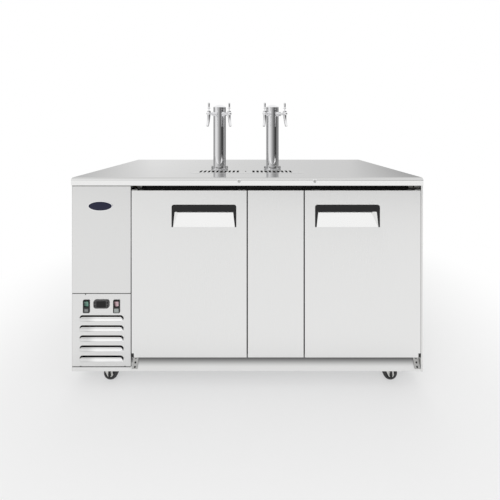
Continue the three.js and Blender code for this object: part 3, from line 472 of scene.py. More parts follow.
# painted highlight: the pocket's steel is paler than the door's, for the light its upward floor
# catches
finish("pocket_steel", "stainless", (0.89, 0.89, 0.885), 0.12, 1.0, grain=UPWARDS,
       relief=0.0005, **smooth)
finish("chrome", "polished_steel", (0.86, 0.86, 0.87), 0.06, 1.0, grain=60, rough_spread=0.02,
       spread=0.02, relief=0.001, cloud=0.02)
finish("zinc_plate", "zinc", (0.66, 0.66, 0.64), 0.3, 1.0, **zinc)
finish("galvanised_sheet", "galvanised", (0.56, 0.57, 0.58), 0.42, 1.0, grain=120, spread=0.14,
       rough_spread=0.12, relief=0.006, cloud=0.08, cloud_size=20.0)
# painted shade: the bowl is near black for the shade inside the tray
finish("tray_bowl_shade", "stainless", (0.015, 0.015, 0.015), 0.6, 1.0, grain=ALONG, relief=0.005,
       cloud=0.1)
# painted shade: the hinge zinc is darker than the forks', for the dark gap the upper hinges sit in
finish("hinge_zinc", "zinc", (0.5, 0.5, 0.49), 0.4, 1.0, **zinc)
finish("dark_screw", "zinc", (0.02, 0.02, 0.02), 0.45, 0.3, grain=700, relief=0.01)
finish("screw_steel", "stainless", (0.5, 0.5, 0.5), 0.3, 1.0, grain=700, relief=0.01)
finish("copper_pipe", None, (0.72, 0.36, 0.22), 0.3, 1.0, grain=300, cloud=0.2, cloud_size=30.0)
print("metals:", sorted(FINISHES))

# %% [markdown]
# The plastics keep a fine skin and a weak gloss. The rocker lenses have a painted highlight:
# their colour runs from a dark left side to a pale right one.

# %% Plastics, rubber and foam
finish("black_moulding", "black_plastic", (0.012, 0.012, 0.0125), 0.4, grain=1200, spread=0.2,
       rough_spread=0.07, relief=0.02, cloud=0.1, Specular_IOR_Level=0.28)
finish("grey_moulding", "grey_plastic", (0.07, 0.07, 0.072), 0.4, grain=1200, spread=0.1,
       relief=0.02, Specular_IOR_Level=0.35)
finish("dark_glass", "grey_plastic", (0.003, 0.003, 0.0035), 0.12, grain=80, rough_spread=0.02,
       relief=0.0005, Specular_IOR_Level=0.25)
for name, colour in (("silver_insert", (0.36, 0.39, 0.38)), ("smoked_insert", (0.085, 0.09, 0.09)),
                     ("smoked_pad", (0.24, 0.25, 0.25))):
    finish(name, "grey_plastic", colour, 0.35, grain=1500, relief=0.01)
finish("liner_white", "white_liner", (0.78, 0.78, 0.76), 0.35, grain=500, spread=0.02, relief=0.01)
finish("foam_yellow", "foam", (0.68, 0.6, 0.36), 0.9, grain=700, spread=0.2, relief=0.3, cloud=0.2)
finish("gasket_rubber", "gasket", (0.045, 0.045, 0.047), 0.6, grain=900)
finish("wheel_rubber", "wheel_rubber", (0.03, 0.03, 0.032), 0.55, grain=600, relief=0.03)
finish("pot_enamel", "enamel_black", (0.012, 0.012, 0.013), 0.3, grain=250, relief=0.03)
lens = {"grain": 200, "relief": 0.004, "Coat_Weight": 0.3}
finish("lens_green", "switch_green", (0.018, 0.085, 0.06), 0.2,
       painted_shading=("X", -801, -783, (0.11, 0.3, 0.22)), **lens)
finish("lens_red", "switch_red", (0.06, 0.006, 0.012), 0.2,
       painted_shading=("X", -654, -641, (0.6, 0.42, 0.46)), **lens)
finish("badge_enamel", None, (0.008, 0.009, 0.035), 0.3, grain=300, relief=0.003,
       Specular_IOR_Level=0.3)
print("finishes in all:", len(FINISHES))

# %% [markdown]
# Every made mesh passes through one function: it shades it, rounds its edges by a small bevel so
# that they catch light as a folded or moulded edge does, and hangs it on its CAD body. A piece
# that stands for a CAD node hides that node, which stays where it is for the motion.

# %% Settle a mesh on its body
CREASE = 32  # degrees


def settle(name, bm, finish_name, body, stands_for=(), edge=0.0, segments=2, crease=CREASE):
    bmesh.ops.recalc_face_normals(bm, faces=bm.faces)
    bmesh.ops.scale(bm, vec=(MM,) * 3, verts=bm.verts)
    mesh = bpy.data.meshes.new(name)
    bm.to_mesh(mesh)
    bm.free()
    mesh.shade_smooth()
    obj = bpy.data.objects.new(name, mesh)
    scene.collection.objects.link(obj)
    material, slot = FINISHES[finish_name]
    mesh.materials.append(material)
    if edge:
        bevel = obj.modifiers.new("rounded_edge", "BEVEL")
        bevel.width, bevel.segments = edge * MM, segments
        bevel.limit_method, bevel.angle_limit = "ANGLE", math.radians(crease)
        bevel.miter_outer = "MITER_ARC"
        obj.modifiers.new("even_shading", "WEIGHTED_NORMAL").keep_sharp = True
    else:
        mesh.set_sharp_from_angle(angle=math.radians(crease))
    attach(obj, body)
    if stands_for:
        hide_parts(*stands_for)
    print(f"{name}: {len(mesh.vertices)} points on {body}")


print("edges sharper than", CREASE, "degrees are rounded")

# %% [markdown]
# ## Worktop
# One sheet, bullnosed along the front, with aprons folded down and welded at the ends. It could
# be a box with a bevel, but the hollow underside shows from below, so the sheet is built as an
# outer and an inner skin with a rim between them, then cut for the tray and the two locks.

# %% Worktop sheet
LEFT, RIGHT, FRONT, BACK = -863.5, 863.5, -357.0, 357.0
TOP, UNDER, SHEET, NOSE = 1030.0, 992.0, 1.5, 13.0
TRAY_X, TRAY_Y, TRAY_LENGTH, TRAY_DEPTH = -5.5, -190.0, 641.0, 104.0
TOWERS_MIDDLE = -11.5
LOCKS = {"left": -40.0, "right": 331.0}
LOCK_Z = 1013.0


def nose_profile(inset):
    return ([(FRONT + inset, UNDER)]
            + arc(FRONT + NOSE, TOP - NOSE, NOSE - inset, 180, 90, 14)
            + [(BACK - inset, TOP - inset), (BACK - inset, UNDER)])


def worktop_sheet():
    bm = bmesh.new()
    rows = [(LEFT, 0), (RIGHT, 0), (RIGHT - SHEET, SHEET), (LEFT + SHEET, SHEET)]
    a, b, c, d = ([bm.verts.new((x, y, z)) for y, z in nose_profile(inset)] for x, inset in rows)
    for one, two in ((a, b), (c, d)):
        for i in range(1, len(one)):
            bm.faces.new((one[i - 1], one[i], two[i], two[i - 1]))
    for end in (a, b, c, d):
        bm.faces.new(end)
    bm.faces.new((a[0], b[0], c[0], d[0]))
    bm.faces.new((a[-1], b[-1], c[-1], d[-1]))
    bm.faces.new((a[0], a[-1], d[-1], d[0]))
    bm.faces.new((b[0], b[-1], c[-1], c[0]))
    return bm


def stadium(inset):
    # the corners stop just short of half the height, or two of their points would fall together
    half = TRAY_DEPTH / 2 - inset
    return rounded(around(TRAY_X, TRAY_LENGTH - 2 * inset), around(TRAY_Y, 2 * half), half - 0.02, 24)


TRAY_CUT, LOCK_HOLE, PAST = 5.7, 9.5, 5
holes = [plate(stadium(TRAY_CUT), (), UNDER, TOP + PAST)]
holes += [front_plate(circle(x, LOCK_Z, LOCK_HOLE), (), FRONT - PAST, FRONT + PAST)
          for x in LOCKS.values()]
settle("worktop_sheet", carved(worktop_sheet(), gathered(*holes)), "top_steel", "cabinet",
       ["worktop"], edge=0.6)

# %% [markdown]
# ## Drip tray
# The tray drops into the worktop and hangs by a thin rolled rim. Its section is the same all the
# way round, so it is lofted: one stadium-shaped loop for each corner of the section. The grille
# is a flat plate with two groups of ten slots and a small screw between them.

# %% Tray pan and grille
RIM = [(6.0, 1022.0), (6.0, 1030.1), (0.0, 1030.1), (0.3, 1030.4), (3.0, 1030.6), (6.0, 1030.4),
       (7.2, 1029.6), (7.2, 1027.0), (13.2, 1027.0), (13.2, 1025.8), (7.2, 1025.8), (7.2, 1022.0)]
BOWL = [(6.1, 1000.0), (6.1, 1022.0), (7.3, 1022.0), (7.3, 1025.7), (13.2, 1025.7),
        (13.2, 1003.0), (15.2, 1001.2)]
SLOT_Y, SLOT_PITCH, SLOT_WIDTH, SLOT_LENGTH = TRAY_Y + 14, 23.1, 12.6, 62
GROUP_REACH, GRILLE_Z = 148, (1027.8, 1029.8)


def ring_of(section, closed=False):
    return loft([[(x, y, z) for x, y in stadium(inset)] for inset, z in section], closed)


settle("drip_rim", ring_of(RIM, closed=True), "tray_steel", "cabinet", ["drip_tray_pan"])
# the bowl's near-black colour is painted shade
settle("drip_bowl", ring_of(BOWL), "tray_bowl_shade", "cabinet")

slots = [rounded(around(TOWERS_MIDDLE + side * GROUP_REACH + (i - 4.5) * SLOT_PITCH, SLOT_WIDTH),
                 around(SLOT_Y, SLOT_LENGTH), 6.2)
         for side in (-1, 1) for i in range(10)]
settle("drip_grille_plate", plate(stadium(7.5), slots, *GRILLE_Z), "tray_steel", "drip_grille",
       ["drip_tray_grille"])

# %% [markdown]
# Every screw on the front is a domed head with a cross recess. The dome is spun, and the recess is
# two crossed blocks carved out of it.

# %% Screw heads
def pan_head(radius, height):
    """A domed screw head that stands along W."""
    dome = [(radius, 0)]
    for angle in (0, 20, 40, 60, 75, 86):
        turn = math.radians(angle)
        dome.append((radius * math.cos(turn), height * (0.25 + 0.75 * math.sin(turn))))
    arm, bar, depth = around(0, radius), around(0, radius * 0.22), (height * 0.5, height * 2)
    return carved(spun(dome, 24), gathered(block(arm, bar, depth), block(bar, arm, depth)))


settle("grille_screw", shifted(pan_head(4.0, 1.8), TOWERS_MIDDLE, SLOT_Y, GRILLE_Z[1] - 0.1),
       "dark_screw", "drip_grille")

# %% [markdown]
# ## Locks
# A cam lock sits in the apron above each door. Its barrel is a turned ring, and the plug in it
# has a keyway. Plug and cam are one piece, because they turn together.

# %% Lock barrels and plugs
for side, x in LOCKS.items():
    ring = spun([(9.4, -20), (9.4, 0), (10.6, 0.1), (10.6, 0.7), (9.6, 1.5), (7.4, 1.5), (6.8, 0.9),
                 (6.8, -20)], 40, closed=True)
    settle(f"lock_barrel_{side}", facing(ring, x, FRONT, LOCK_Z), "chrome", "cabinet", edge=0.15)
    core = spun([(6.4, -23.3), (6.4, 1.0), (6.0, 1.4)], 40)
    core = carved(core, block(around(0, 1.3), around(0, 7.2), (-3, 3)))
    cam = plate(rounded((-6, 55), (-4, 4), 3.9, 6), (), -23.3, -20.3)
    settle(f"lock_core_{side}", facing(gathered(core, cam), x, FRONT, LOCK_Z), "zinc_plate",
           f"{side}_lock", [f"lock_plug_{side}"], edge=0.15)

# %% [markdown]
# ## Cabinet sheet and foam
# These are plain folded panels, so their CAD shape is already right. A copy of each gets a
# rounded edge and a brushed finish. The copy stands for the node, which stays as it is. Where the
# edge is 0, as on the rear grille with its many slots, the copy keeps the node's own facets.

# %% Panels carried over with rounded edges
carried = [
    ("left_side_panel", "side_steel", "cabinet", 0.6),
    ("right_side_panel", "side_steel", "cabinet", 0.6),
    ("upper_front_panel", "panel_steel", "cabinet", 0.4),
    ("centre_panel", "door_steel", "cabinet", 0.4),
    ("front_sill", "sill_steel", "cabinet", 0.4),
    ("back_panel", "galvanised_sheet", "cabinet", 0.4),
    ("base_pan", "galvanised_sheet", "cabinet", 0.3),
    ("rear_grille", "galvanised_sheet", "cabinet", 0.0),
    ("foam_body", "foam_yellow", "cabinet", 0.4),
    ("inner_liner", "liner_white", "cabinet", 0.4),
    ("face_frame", "black_moulding", "cabinet", 0.8),
    ("hinge_upper_left", "hinge_zinc", "cabinet", 0.4),
    ("hinge_upper_right", "hinge_zinc", "cabinet", 0.4),
    ("hinge_lower_left", "hinge_zinc", "cabinet", 0.4),
    ("hinge_lower_right", "hinge_zinc", "cabinet", 0.4),
    ("door_skin_left", "door_steel", "left_door", 0.4),
    ("door_skin_right", "door_steel", "right_door", 0.4),
    ("door_inner_pan_left", "liner_white", "left_door", 0.0),
    ("door_inner_pan_right", "liner_white", "right_door", 0.0),
]
for node, look, body, edge in carried:
    settle(f"{node}_sheet", cad_copy(node, join=edge > 0), look, body, [node], edge=edge)

# %% [markdown]
# ## Louvred panel
# The louvres are lanced: the press cuts a slot and pushes the metal below it outwards, so each
# hood is a tongue that stands off at its top edge and runs into the panel at its foot. It is
# lofted in slices along its width; at both ends the slices lose their lift, and the tongue's
# upper corners are round.

# %% Panel tray with its openings
PANEL_Y = -351.0
PANEL_X, PANEL_Z = (-861.7, -574.0), (100.6, 458.4)
LOUVRE_X = (-824.5, -610.5)
SLOT_TOPS = [352 - 49.6 * i for i in range(5)]
LIP_DROP, HOOD_HEIGHT, HOOD_LIFT, HOOD_CORNER, HOOD_SKIN = 6.5, 25.0, 7.0, 14.0, 1.2
CONTROL_X, CONTROL_Z, SWITCH_Z = -717.5, 408.0, 396.0
SWITCHES = {"left": -791.8, "right": -643.2}


def sheet_tray(x_span, z_span, front, back):
    def ring(inset, y):
        (x0, x1), (z0, z1) = x_span, z_span
        return [(x0 + inset, y, z0 + inset), (x1 - inset, y, z0 + inset),
                (x1 - inset, y, z1 - inset), (x0 + inset, y, z1 - inset)]
    return loft([ring(0, front), ring(0, back), ring(SHEET, back), ring(SHEET, front + SHEET)])


def slot_outline(top):
    (x0, x1), low = LOUVRE_X, top - LIP_DROP - HOOD_HEIGHT + 4
    return ([(x0 - 0.6, low), (x1 + 0.6, low)]
            + arc(x1 + 0.6 - HOOD_CORNER, top - HOOD_CORNER, HOOD_CORNER, 0, 90, 8)
            + arc(x0 - 0.6 + HOOD_CORNER, top - HOOD_CORNER, HOOD_CORNER, 90, 180, 8))


def tile(x, z, width, height, radius, front, back, holes=(), steps=8):
    """A rounded plate on the panel, with its front and back counted from the panel's face."""
    outline = rounded(around(x, width), around(z, height), radius, steps)
    return front_plate(outline, holes, PANEL_Y + front, PANEL_Y + back)


openings = [front_plate(slot_outline(top), (), PANEL_Y - 3, PANEL_Y + 3) for top in SLOT_TOPS]
openings.append(tile(CONTROL_X, CONTROL_Z, 68, 29, 2, -3, 3))
openings += [tile(x, SWITCH_Z, 28, 60, 2, -3, 3) for x in SWITCHES.values()]
louvre_sheet = carved(sheet_tray(PANEL_X, PANEL_Z, PANEL_Y, PANEL_Y + 20), gathered(*openings))
settle("louvre_sheet", louvre_sheet, "panel_steel", "cabinet", ["louvre_panel"], edge=0.5)

# %% [markdown]
# A hood bulges most near its lip and curls back a little there. Slices lie closer together at the
# two ends, where the form turns, than in the middle, where nothing changes.

# %% Louvre hoods
HOOD_CURL, END_RUN = 0.86, 8


def ease(value):
    value = min(max(value, 0.0), 1.0)
    return value * value * (3 - 2 * value)


def hood(top, columns=64, rows=10):
    x0, x1 = LOUVRE_X
    lip = top - LIP_DROP
    foot = lip - HOOD_HEIGHT
    slices = []
    for i in range(columns + 1):
        x = x0 + (x1 - x0) * (0.5 - 0.5 * math.cos(math.pi * i / columns))
        inward = min(x - x0, x1 - x)
        missing = max(HOOD_CORNER - inward, 0.0)
        crown = lip - (HOOD_CORNER - math.sqrt(HOOD_CORNER ** 2 - missing ** 2))
        hold = ease(inward / END_RUN)
        outer, inner = [], []
        for k in range(rows + 1):
            z = foot + (crown - foot) * k / rows
            h = (z - foot) / HOOD_HEIGHT
            bulge = HOOD_LIFT * math.sin(math.pi * HOOD_CURL * h ** 0.8)
            y = PANEL_Y - bulge * (hold + (1 - hold) * ease((h - 0.3) / 0.4)) - 0.05
            outer.append((x, y, z))
            inner.append((x, y + HOOD_SKIN, z))
        slices.append(outer + inner[::-1])
    return loft(slices)


settle("louvre_hoods", gathered(*[hood(top) for top in SLOT_TOPS]), "hood_steel", "cabinet")

# %% [markdown]
# ## Controller and switches
# The thermostat is a snap-in module: a grey bezel with clipped ends, a dark window and two small
# keys at each end. The rockers are green and red, and each sits in a black bezel with a small
# insert below it. One coloured block would do from far away, but plates of their own catch a
# line of light on every edge and show their depth from the side.

# %% Thermostat
window = rounded(around(CONTROL_X, 47), around(CONTROL_Z, 31), 3, 6)
bezel = tile(CONTROL_X, CONTROL_Z, 77, 42, 12, -3.4, -0.3, [window])
housing = tile(CONTROL_X, CONTROL_Z, 67, 28, 2, -0.6, 54)
settle("thermostat_bezel", gathered(bezel, housing), "grey_moulding", "cabinet",
       ["temperature_controller"], edge=0.5)
settle("thermostat_window", tile(CONTROL_X, CONTROL_Z, 47.6, 31.6, 3, -2.4, -0.5, steps=6),
       "dark_glass", "cabinet", edge=0.3)
keys = [tile(CONTROL_X + dx, CONTROL_Z + dz, 6.5, 9, 3, -4.2, -3.0, steps=6)
        for dx in (-30.5, 30.5) for dz in (-7.5, 7.5)]
settle("thermostat_keys", gathered(*keys), "black_moulding", "cabinet", edge=0.4)

# %% [markdown]
# A rocker's face is dished, so that the finger finds either end of it. Its side view is drawn as
# an outline and cut as a plate as wide as the rocker, which then tilts in its well.

# %% Rocker switches
ROCKER_Z, ROCKER_Y, INSERT_Z, TILT = 410.0, -348.3, 376.5, 10
SWITCH_LOOKS = {"left": ("smoked_insert", "smoked_pad", "lens_green"),
                "right": ("silver_insert", "silver_insert", "lens_red")}
dished = [(-5.5 + 1.9 * math.cos(math.radians(15 * k)), 13.5 * k / 6) for k in range(-6, 7)]
rocker_outline = dished + [(5.5, 6.7), (5.5, -6.7)]
for side, x in SWITCHES.items():
    insert_look, pad_look, lens_look = SWITCH_LOOKS[side]
    well = rounded(around(x, 22.6), around(ROCKER_Z, 28.6), 1.2, 4)
    recess = rounded(around(x, 23), around(INSERT_Z, 20), 2, 4)
    face = tile(x, SWITCH_Z, 32, 64, 4, -2.8, -0.3, [well, recess], steps=6)
    case = tile(x, SWITCH_Z, 27.7, 59.7, 2, -0.6, 22, [well], steps=4)
    case_end = tile(x, SWITCH_Z, 27.7, 59.7, 2, 21, 24, steps=4)
    settle(f"switch_frame_{side}", gathered(face, case, case_end), "black_moulding", "cabinet",
           [f"switch_bezel_{side}"], edge=0.3)
    pad_hole = rounded(around(x, 16), around(INSERT_Z, 12), 1.5, 4)
    settle(f"switch_insert_{side}", tile(x, INSERT_Z, 23, 20, 2, -2.3, -0.4, [pad_hole], steps=4),
           insert_look, "cabinet", edge=0.25)
    settle(f"switch_pad_{side}", tile(x, INSERT_Z, 16.4, 12.4, 1.5, -1.8, -0.4, steps=4),
           pad_look, "cabinet", edge=0.25)
    rocker = moved(plate(rocker_outline, (), -10.5, 10.5), SIDEWAYS)
    place = (Matrix.Translation((x, ROCKER_Y, ROCKER_Z))
             @ Matrix.Rotation(math.radians(TILT), 4, "X"))
    settle(f"rocker_lens_{side}", moved(rocker, place), lens_look, f"{side}_rocker",
           [f"switch_rocker_{side}"], edge=0.5)

# %% [markdown]
# ## Oval plate, seams and panel screws
# An oval plate marks the upper panel: dark enamel, slightly domed, in a bright rim. The dome is
# lofted from ovals that shrink as they rise, which keeps its outline smooth.

# %% Oval plate
BADGE_X, BADGE_Z, ENAMEL = -723, 890, (114.4, 43.4)


def oval(width, height, steps=64):
    return [(BADGE_X + width / 2 * math.cos(2 * math.pi * i / steps),
             BADGE_Z + height / 2 * math.sin(2 * math.pi * i / steps)) for i in range(steps)]


settle("badge_rim", front_plate(oval(120, 49), [oval(114, 43)], PANEL_Y - 2.4, PANEL_Y - 0.05),
       "chrome", "cabinet", edge=0.5)
enamel = [[(x, PANEL_Y - 0.3, z) for x, z in oval(*ENAMEL)]]
for k in range(5):
    slope = math.radians(18 * k)
    y = PANEL_Y - 1.2 - 1.4 * math.sin(slope)
    enamel.append([(x, y, z) for x, z in oval(*(size * math.cos(slope) for size in ENAMEL))])
settle("badge_enamel_plate", loft(enamel), "badge_enamel", "cabinet")

# %% [markdown]
# Black strips in the seams above and below the louvred panel are painted shade: they darken the
# seam lines. The panel is held by one screw at the top and two at the foot. Only a thin line of
# each strip is seen, so plain blocks will do.

# %% Seams and panel screws
seam_shades = [block((PANEL_X[0] + 0.5, PANEL_X[1] - 0.5), (PANEL_Y + front, PANEL_Y + 12), (low, high))
         for front, low, high in ((-0.7, 97.1, 99.7), (-0.2, 457.5, 461.0))]
settle("panel_seam_shades", gathered(*seam_shades), "black_moulding", "cabinet")
for name, x, z in (("top", -796, 455), ("foot_left", -820, 100.6), ("foot_right", -602, 100.6)):
    settle(f"panel_screw_{name}", facing(pan_head(2.6, 1.4), x, PANEL_Y, z), "dark_screw", "cabinet")

# %% [markdown]
# ## Door grips, seals and bushes
# The grip is a black plastic frame round the finger pocket: a wide band on top, narrowing legs
# at the sides, nothing below. Its CAD form is a whole moulding, so a copy gets soft edges. The
# sloping floor and the sides of the pocket are steel, laid as thin sheets over the door skin.

# %% Grips
DOOR_FACE = -354.0
GRIP_TOP, GRIP_FOOT = 894.5, 787.5
GRIPS = {"left": (-371.5, -53.5), "right": (333.5, 651.5)}
LEG, LEG_WIDENS, LEG_HEIGHT, BAND, WALL_DEPTH = 7.3, 8, 74, 33.6, 31


def pocket_wall(x, inward):
    """The pocket's steel side behind one leg of the grip; it leans with the leg."""
    front, back, top = DOOR_FACE - 0.8, DOOR_FACE + WALL_DEPTH, GRIP_TOP - BAND
    corners = [(front, GRIP_FOOT + 1.8), (back, GRIP_FOOT + LEG_HEIGHT), (back, top), (front, top)]
    return loft([[(x + inward * (LEG + gap + LEG_WIDENS * (z - GRIP_FOOT) / LEG_HEIGHT), y, z)
                  for y, z in corners] for gap in (0.15, 0.5)])


for side, (x0, x1) in GRIPS.items():
    settle(f"grip_moulding_{side}", cad_copy(f"door_grip_{side}"), "black_moulding", f"{side}_door",
           [f"door_grip_{side}"], edge=0.5)
    slope = [(DOOR_FACE - 0.1, GRIP_FOOT + 0.3), (DOOR_FACE + 32.6, GRIP_FOOT + 76.6),
             (DOOR_FACE + 32.2, GRIP_FOOT + 77.6), (DOOR_FACE - 0.5, GRIP_FOOT + 1.3)]
    floor_sheet = moved(plate(slope, (), x0 + 8, x1 - 8), SIDEWAYS)
    settle(f"pocket_sheet_{side}",
           gathered(floor_sheet, pocket_wall(x0, 1), pocket_wall(x1, -1)), "pocket_steel",
           f"{side}_door")

# %% [markdown]
# The seal is a magnetic gasket: a flat base in the door, a soft bellows, and a head that meets
# the frame. One section runs round the door with mitred corners, so it is lofted from one
# rectangle per point of the section.

# %% Gaskets and hinge bushes
DOORS = {"left": (-568.0, -3.0, -1), "right": (283.0, 852.0, 1)}
DOOR_FOOT, DOOR_TOP = 147, 967
seal = [(16.5, -307.8), (30, -307.8), (30, -306.6), (27.6, -305.8), (28.6, -304.2), (27.2, -302.6),
        (28.4, -301.4), (29.6, -300.6), (29.6, -298.2), (28.8, -297.6), (17.4, -297.6), (16.6, -298.2),
        (16.6, -300.6), (17.8, -301.4), (19.0, -302.6), (17.6, -304.2), (18.6, -305.8), (16.5, -306.6)]
for side, (x0, x1, hinge) in DOORS.items():
    loops = [[(x0 + i, y, DOOR_FOOT + i), (x1 - i, y, DOOR_FOOT + i),
              (x1 - i, y, DOOR_TOP - i), (x0 + i, y, DOOR_TOP - i)] for i, y in seal]
    settle(f"gasket_seal_{side}", loft(loops, closed=True), "gasket_rubber", f"{side}_door",
           [f"door_gasket_{side}"])
    edge_x = x0 if hinge < 0 else x1
    bush_x = sorted((edge_x, edge_x - hinge * 11))
    bush = block(bush_x, (DOOR_FACE, DOOR_FACE + 1.4), (DOOR_FOOT, DOOR_FOOT + 19.8))
    settle(f"hinge_bush_{side}", bush, "black_moulding", f"{side}_door", edge=0.3)

# %% [markdown]
# The lower hinge brackets lie on the sill, which leans back as it rises. Their screws stand square
# to it, so each is turned by the lean before it is put in its place.

# %% Hinge screws
SILL_FOOT, SILL_BACK, SILL_RISE, BRACKET = 81, 20, 62, 3.3
LEAN = math.atan2(SILL_BACK, SILL_RISE)
for side, x in (("left", -554), ("right", 838)):
    screws = []
    for z in (96, 113, 130):
        y = PANEL_Y + (z - SILL_FOOT) * SILL_BACK / SILL_RISE - BRACKET / math.cos(LEAN)
        turn = Matrix.Translation((x, y, z)) @ Matrix.Rotation(-LEAN, 4, "X") @ FACING
        screws.append(moved(pan_head(4.4, 1.6), turn))
    settle(f"hinge_screws_{side}", gathered(*screws), "dark_screw", "cabinet")

# %% [markdown]
# ## Towers
# Each tower is a three-inch tube, chromed and polished, welded to a base flange and closed by a
# domed cap. A spun profile gives both. The cap's dome is a part of a sphere, whose radius follows
# from the column's and from how high the dome rises. Cap nuts hold the flange.

# %% Columns and caps
TOWERS = {"left": -170.0, "right": 147.0}
TOWER_Y, COLUMN, SHANK_Z = -85.0, 38.1, 1357.0
TUBE_TOP, CAP_BAND, CAP_RISE, BOLT_REACH = 1396.0, 5.5, 13.0, 44.8
flange_profile = [(36.5, TOP + 0.3), (51.0, TOP + 0.3), (51.0, TOP + 3.9), (50.7, TOP + 4.2),
                  (COLUMN + 0.4, TOP + 4.2), (COLUMN, TOP + 4.6), (COLUMN, 1200.0),
                  (COLUMN, TUBE_TOP), (36.5, TUBE_TOP)]
dome_radius = (COLUMN ** 2 + CAP_RISE ** 2) / (2 * CAP_RISE)
dome_foot = TUBE_TOP + 0.4 + CAP_BAND
dome_middle = dome_foot + CAP_RISE - dome_radius
cap_profile = ([(36.0, 1384.4), (36.0, TUBE_TOP + 0.4), (COLUMN, TUBE_TOP + 0.4),
                (COLUMN, dome_foot - 0.6)]
               + [(r, dome_middle + math.sqrt(dome_radius ** 2 - r ** 2))
                  for r in (37.6, 36, 33, 29, 25, 20, 15, 10, 5, 1)])
for side, x in TOWERS.items():
    settle(f"column_{side}", shifted(spun(flange_profile, 96, closed=True), x, TOWER_Y, 0), "chrome",
           "cabinet", [f"tower_column_{side}"])
    settle(f"column_cap_{side}", shifted(spun(cap_profile, 96), x, TOWER_Y, 0), "chrome", "cabinet",
           [f"tower_cap_{side}"])
    bolts = []
    for angle in (0, 90, 180):
        reach = Matrix.Rotation(math.radians(angle), 4, "Z") @ Matrix.Translation((BOLT_REACH, 0, 0))
        washer = spun([(6.0, TOP + 4.2), (6.0, TOP + 5.0), (4.4, TOP + 5.2)], 24)
        head = plate(circle(0, 0, 5.6, 6), (), TOP + 5.0, TOP + 11.0)
        crown = spun([(5.0, TOP + 10.8)] + arc(0, TOP + 14.0, 5.0, 0, 80, 6), 24)
        bolts.append(moved(gathered(washer, head, crown), Matrix.Translation((x, TOWER_Y, 0)) @ reach))
    settle(f"column_bolts_{side}", gathered(*bolts), "screw_steel", "cabinet", edge=0.3)

# %% [markdown]
# ## Faucets and levers
# A beer faucet is brass, forged and chromed: a shank through the column, a slotted coupling nut,
# a horizontal body, a ball-shaped socket for the lever, and a spout that curves down. The four
# are alike, so each is drawn pointing to the front and then turned to its own angle on a column.

# %% Places of the faucets
FAUCETS = {"left_outer": ("left", -30), "left_inner": ("left", 40),
           "right_inner": ("right", -30), "right_outer": ("right", 40)}
REACH, PIVOT = 100.0, 14.0


def faucet_place(name):
    side, angle = FAUCETS[name]
    return (Matrix.Translation((TOWERS[side], TOWER_Y, SHANK_Z))
            @ Matrix.Rotation(math.radians(angle), 4, "Z"))


for name, (side, angle) in FAUCETS.items():
    print("faucet", name, "is turned", angle, "degrees on the", side, "column")

# %% [markdown]
# The coupling nut is tightened with a hook spanner, so six notches are carved out of its rim. The
# ring on the socket is knurled: a loft between two rings whose radius goes up and down.

# %% Coupling nut and knurled ring
def lengthways(profile, sides=40):
    return moved(spun(profile, sides), FACING)


def coupling_nut():
    rim = [(9.5, 41.9), (11.6, 42.1), (12.2, 42.8), (12.2, 50.4), (11.8, 50.8), (11.8, 51.6),
           (12.2, 52.0), (12.2, 62.8), (11.6, 63.5), (9.5, 63.7)]
    notches = [moved(block(around(12.4, 3.0), around(0, 3.0), (53.5, 61.5)),
                     FACING @ Matrix.Rotation(math.radians(60 * k), 4, "Z")) for k in range(6)]
    return carved(lengthways(rim, 48), gathered(*notches))


def knurled_ring(radius, depth, low, high, ridges=36):
    turn = [math.pi * k / ridges for k in range(2 * ridges)]
    radii = [radius + depth * (k % 2) for k in range(2 * ridges)]
    return loft([[(r * math.cos(a), r * math.sin(a) - REACH, z) for r, a in zip(radii, turn)]
                 for z in (low, high)])


print("a coupling nut has", len(coupling_nut().faces), "faces")

# %% [markdown]
# The round parts of the body are spun and the spout is swept along its bend with a changing
# radius, with a bore carved into its mouth. The edges get a very small bevel only, because a wider
# one would fold over the short faces of the knurl.

# %% Faucet bodies and spouts
def faucet_body():
    collar = lengthways([(10.5, 24.6), (10.5, 38.6), (13.0, 38.6), (13.2, 39.2), (12.8, 41.0),
                         (10.4, 41.8)])
    barrel = lengthways([(8.6, 63.5), (7.6, 66), (7.4, 71), (7.8, 77), (8.8, 83), (10.2, 90),
                         (10.8, 98), (10.6, 106), (9.6, 110), (7.8, 112.4), (5.0, 113.4),
                         (2.0, 113.8)])
    neck = spun([(6.0, -11), (8.4, -8), (10.4, -4), (11.2, 0), (11.4, 6), (11.2, 9.4),
                 (10.2, 9.8)], 40)
    mouth = spun([(8.8, 14.4), (9.4, 15.0), (8.8, 15.9), (7.9, 16.0), (7.7, 12.0)], 40)
    return gathered(collar, coupling_nut(), barrel, shifted(neck, 0, -REACH, 0),
                    knurled_ring(9.6, 0.35, 9.6, 14.6), shifted(mouth, 0, -REACH, 0))


def spout():
    # (how far in front of the socket, height, radius) along the bend
    bend = [(-0.5, -2, 9.6), (0.2, -12, 9.0), (1.4, -24, 8.2), (3.4, -38, 7.6), (6.2, -52, 7.3),
            (9.6, -64, 7.1), (12, -71.6, 7.2)]
    tube = swept([(0, -REACH - ahead, z) for ahead, z, _ in bend], [r for *_, r in bend], 28)
    bore = swept([(0, -REACH - 8.4, -60), (0, -REACH - 13.4, -76)], 5.2, 24)
    return carved(tube, bore)


for name in FAUCETS:
    settle(f"tap_body_{name}", moved(gathered(faucet_body(), spout()), faucet_place(name)), "chrome",
           "cabinet", [f"faucet_{name}"], edge=0.1, crease=40)

# %% [markdown]
# The lever is one turned piece: a ball in the socket, a thin neck, a collar against dripping and a
# slim handle. It turns about the ball's middle.

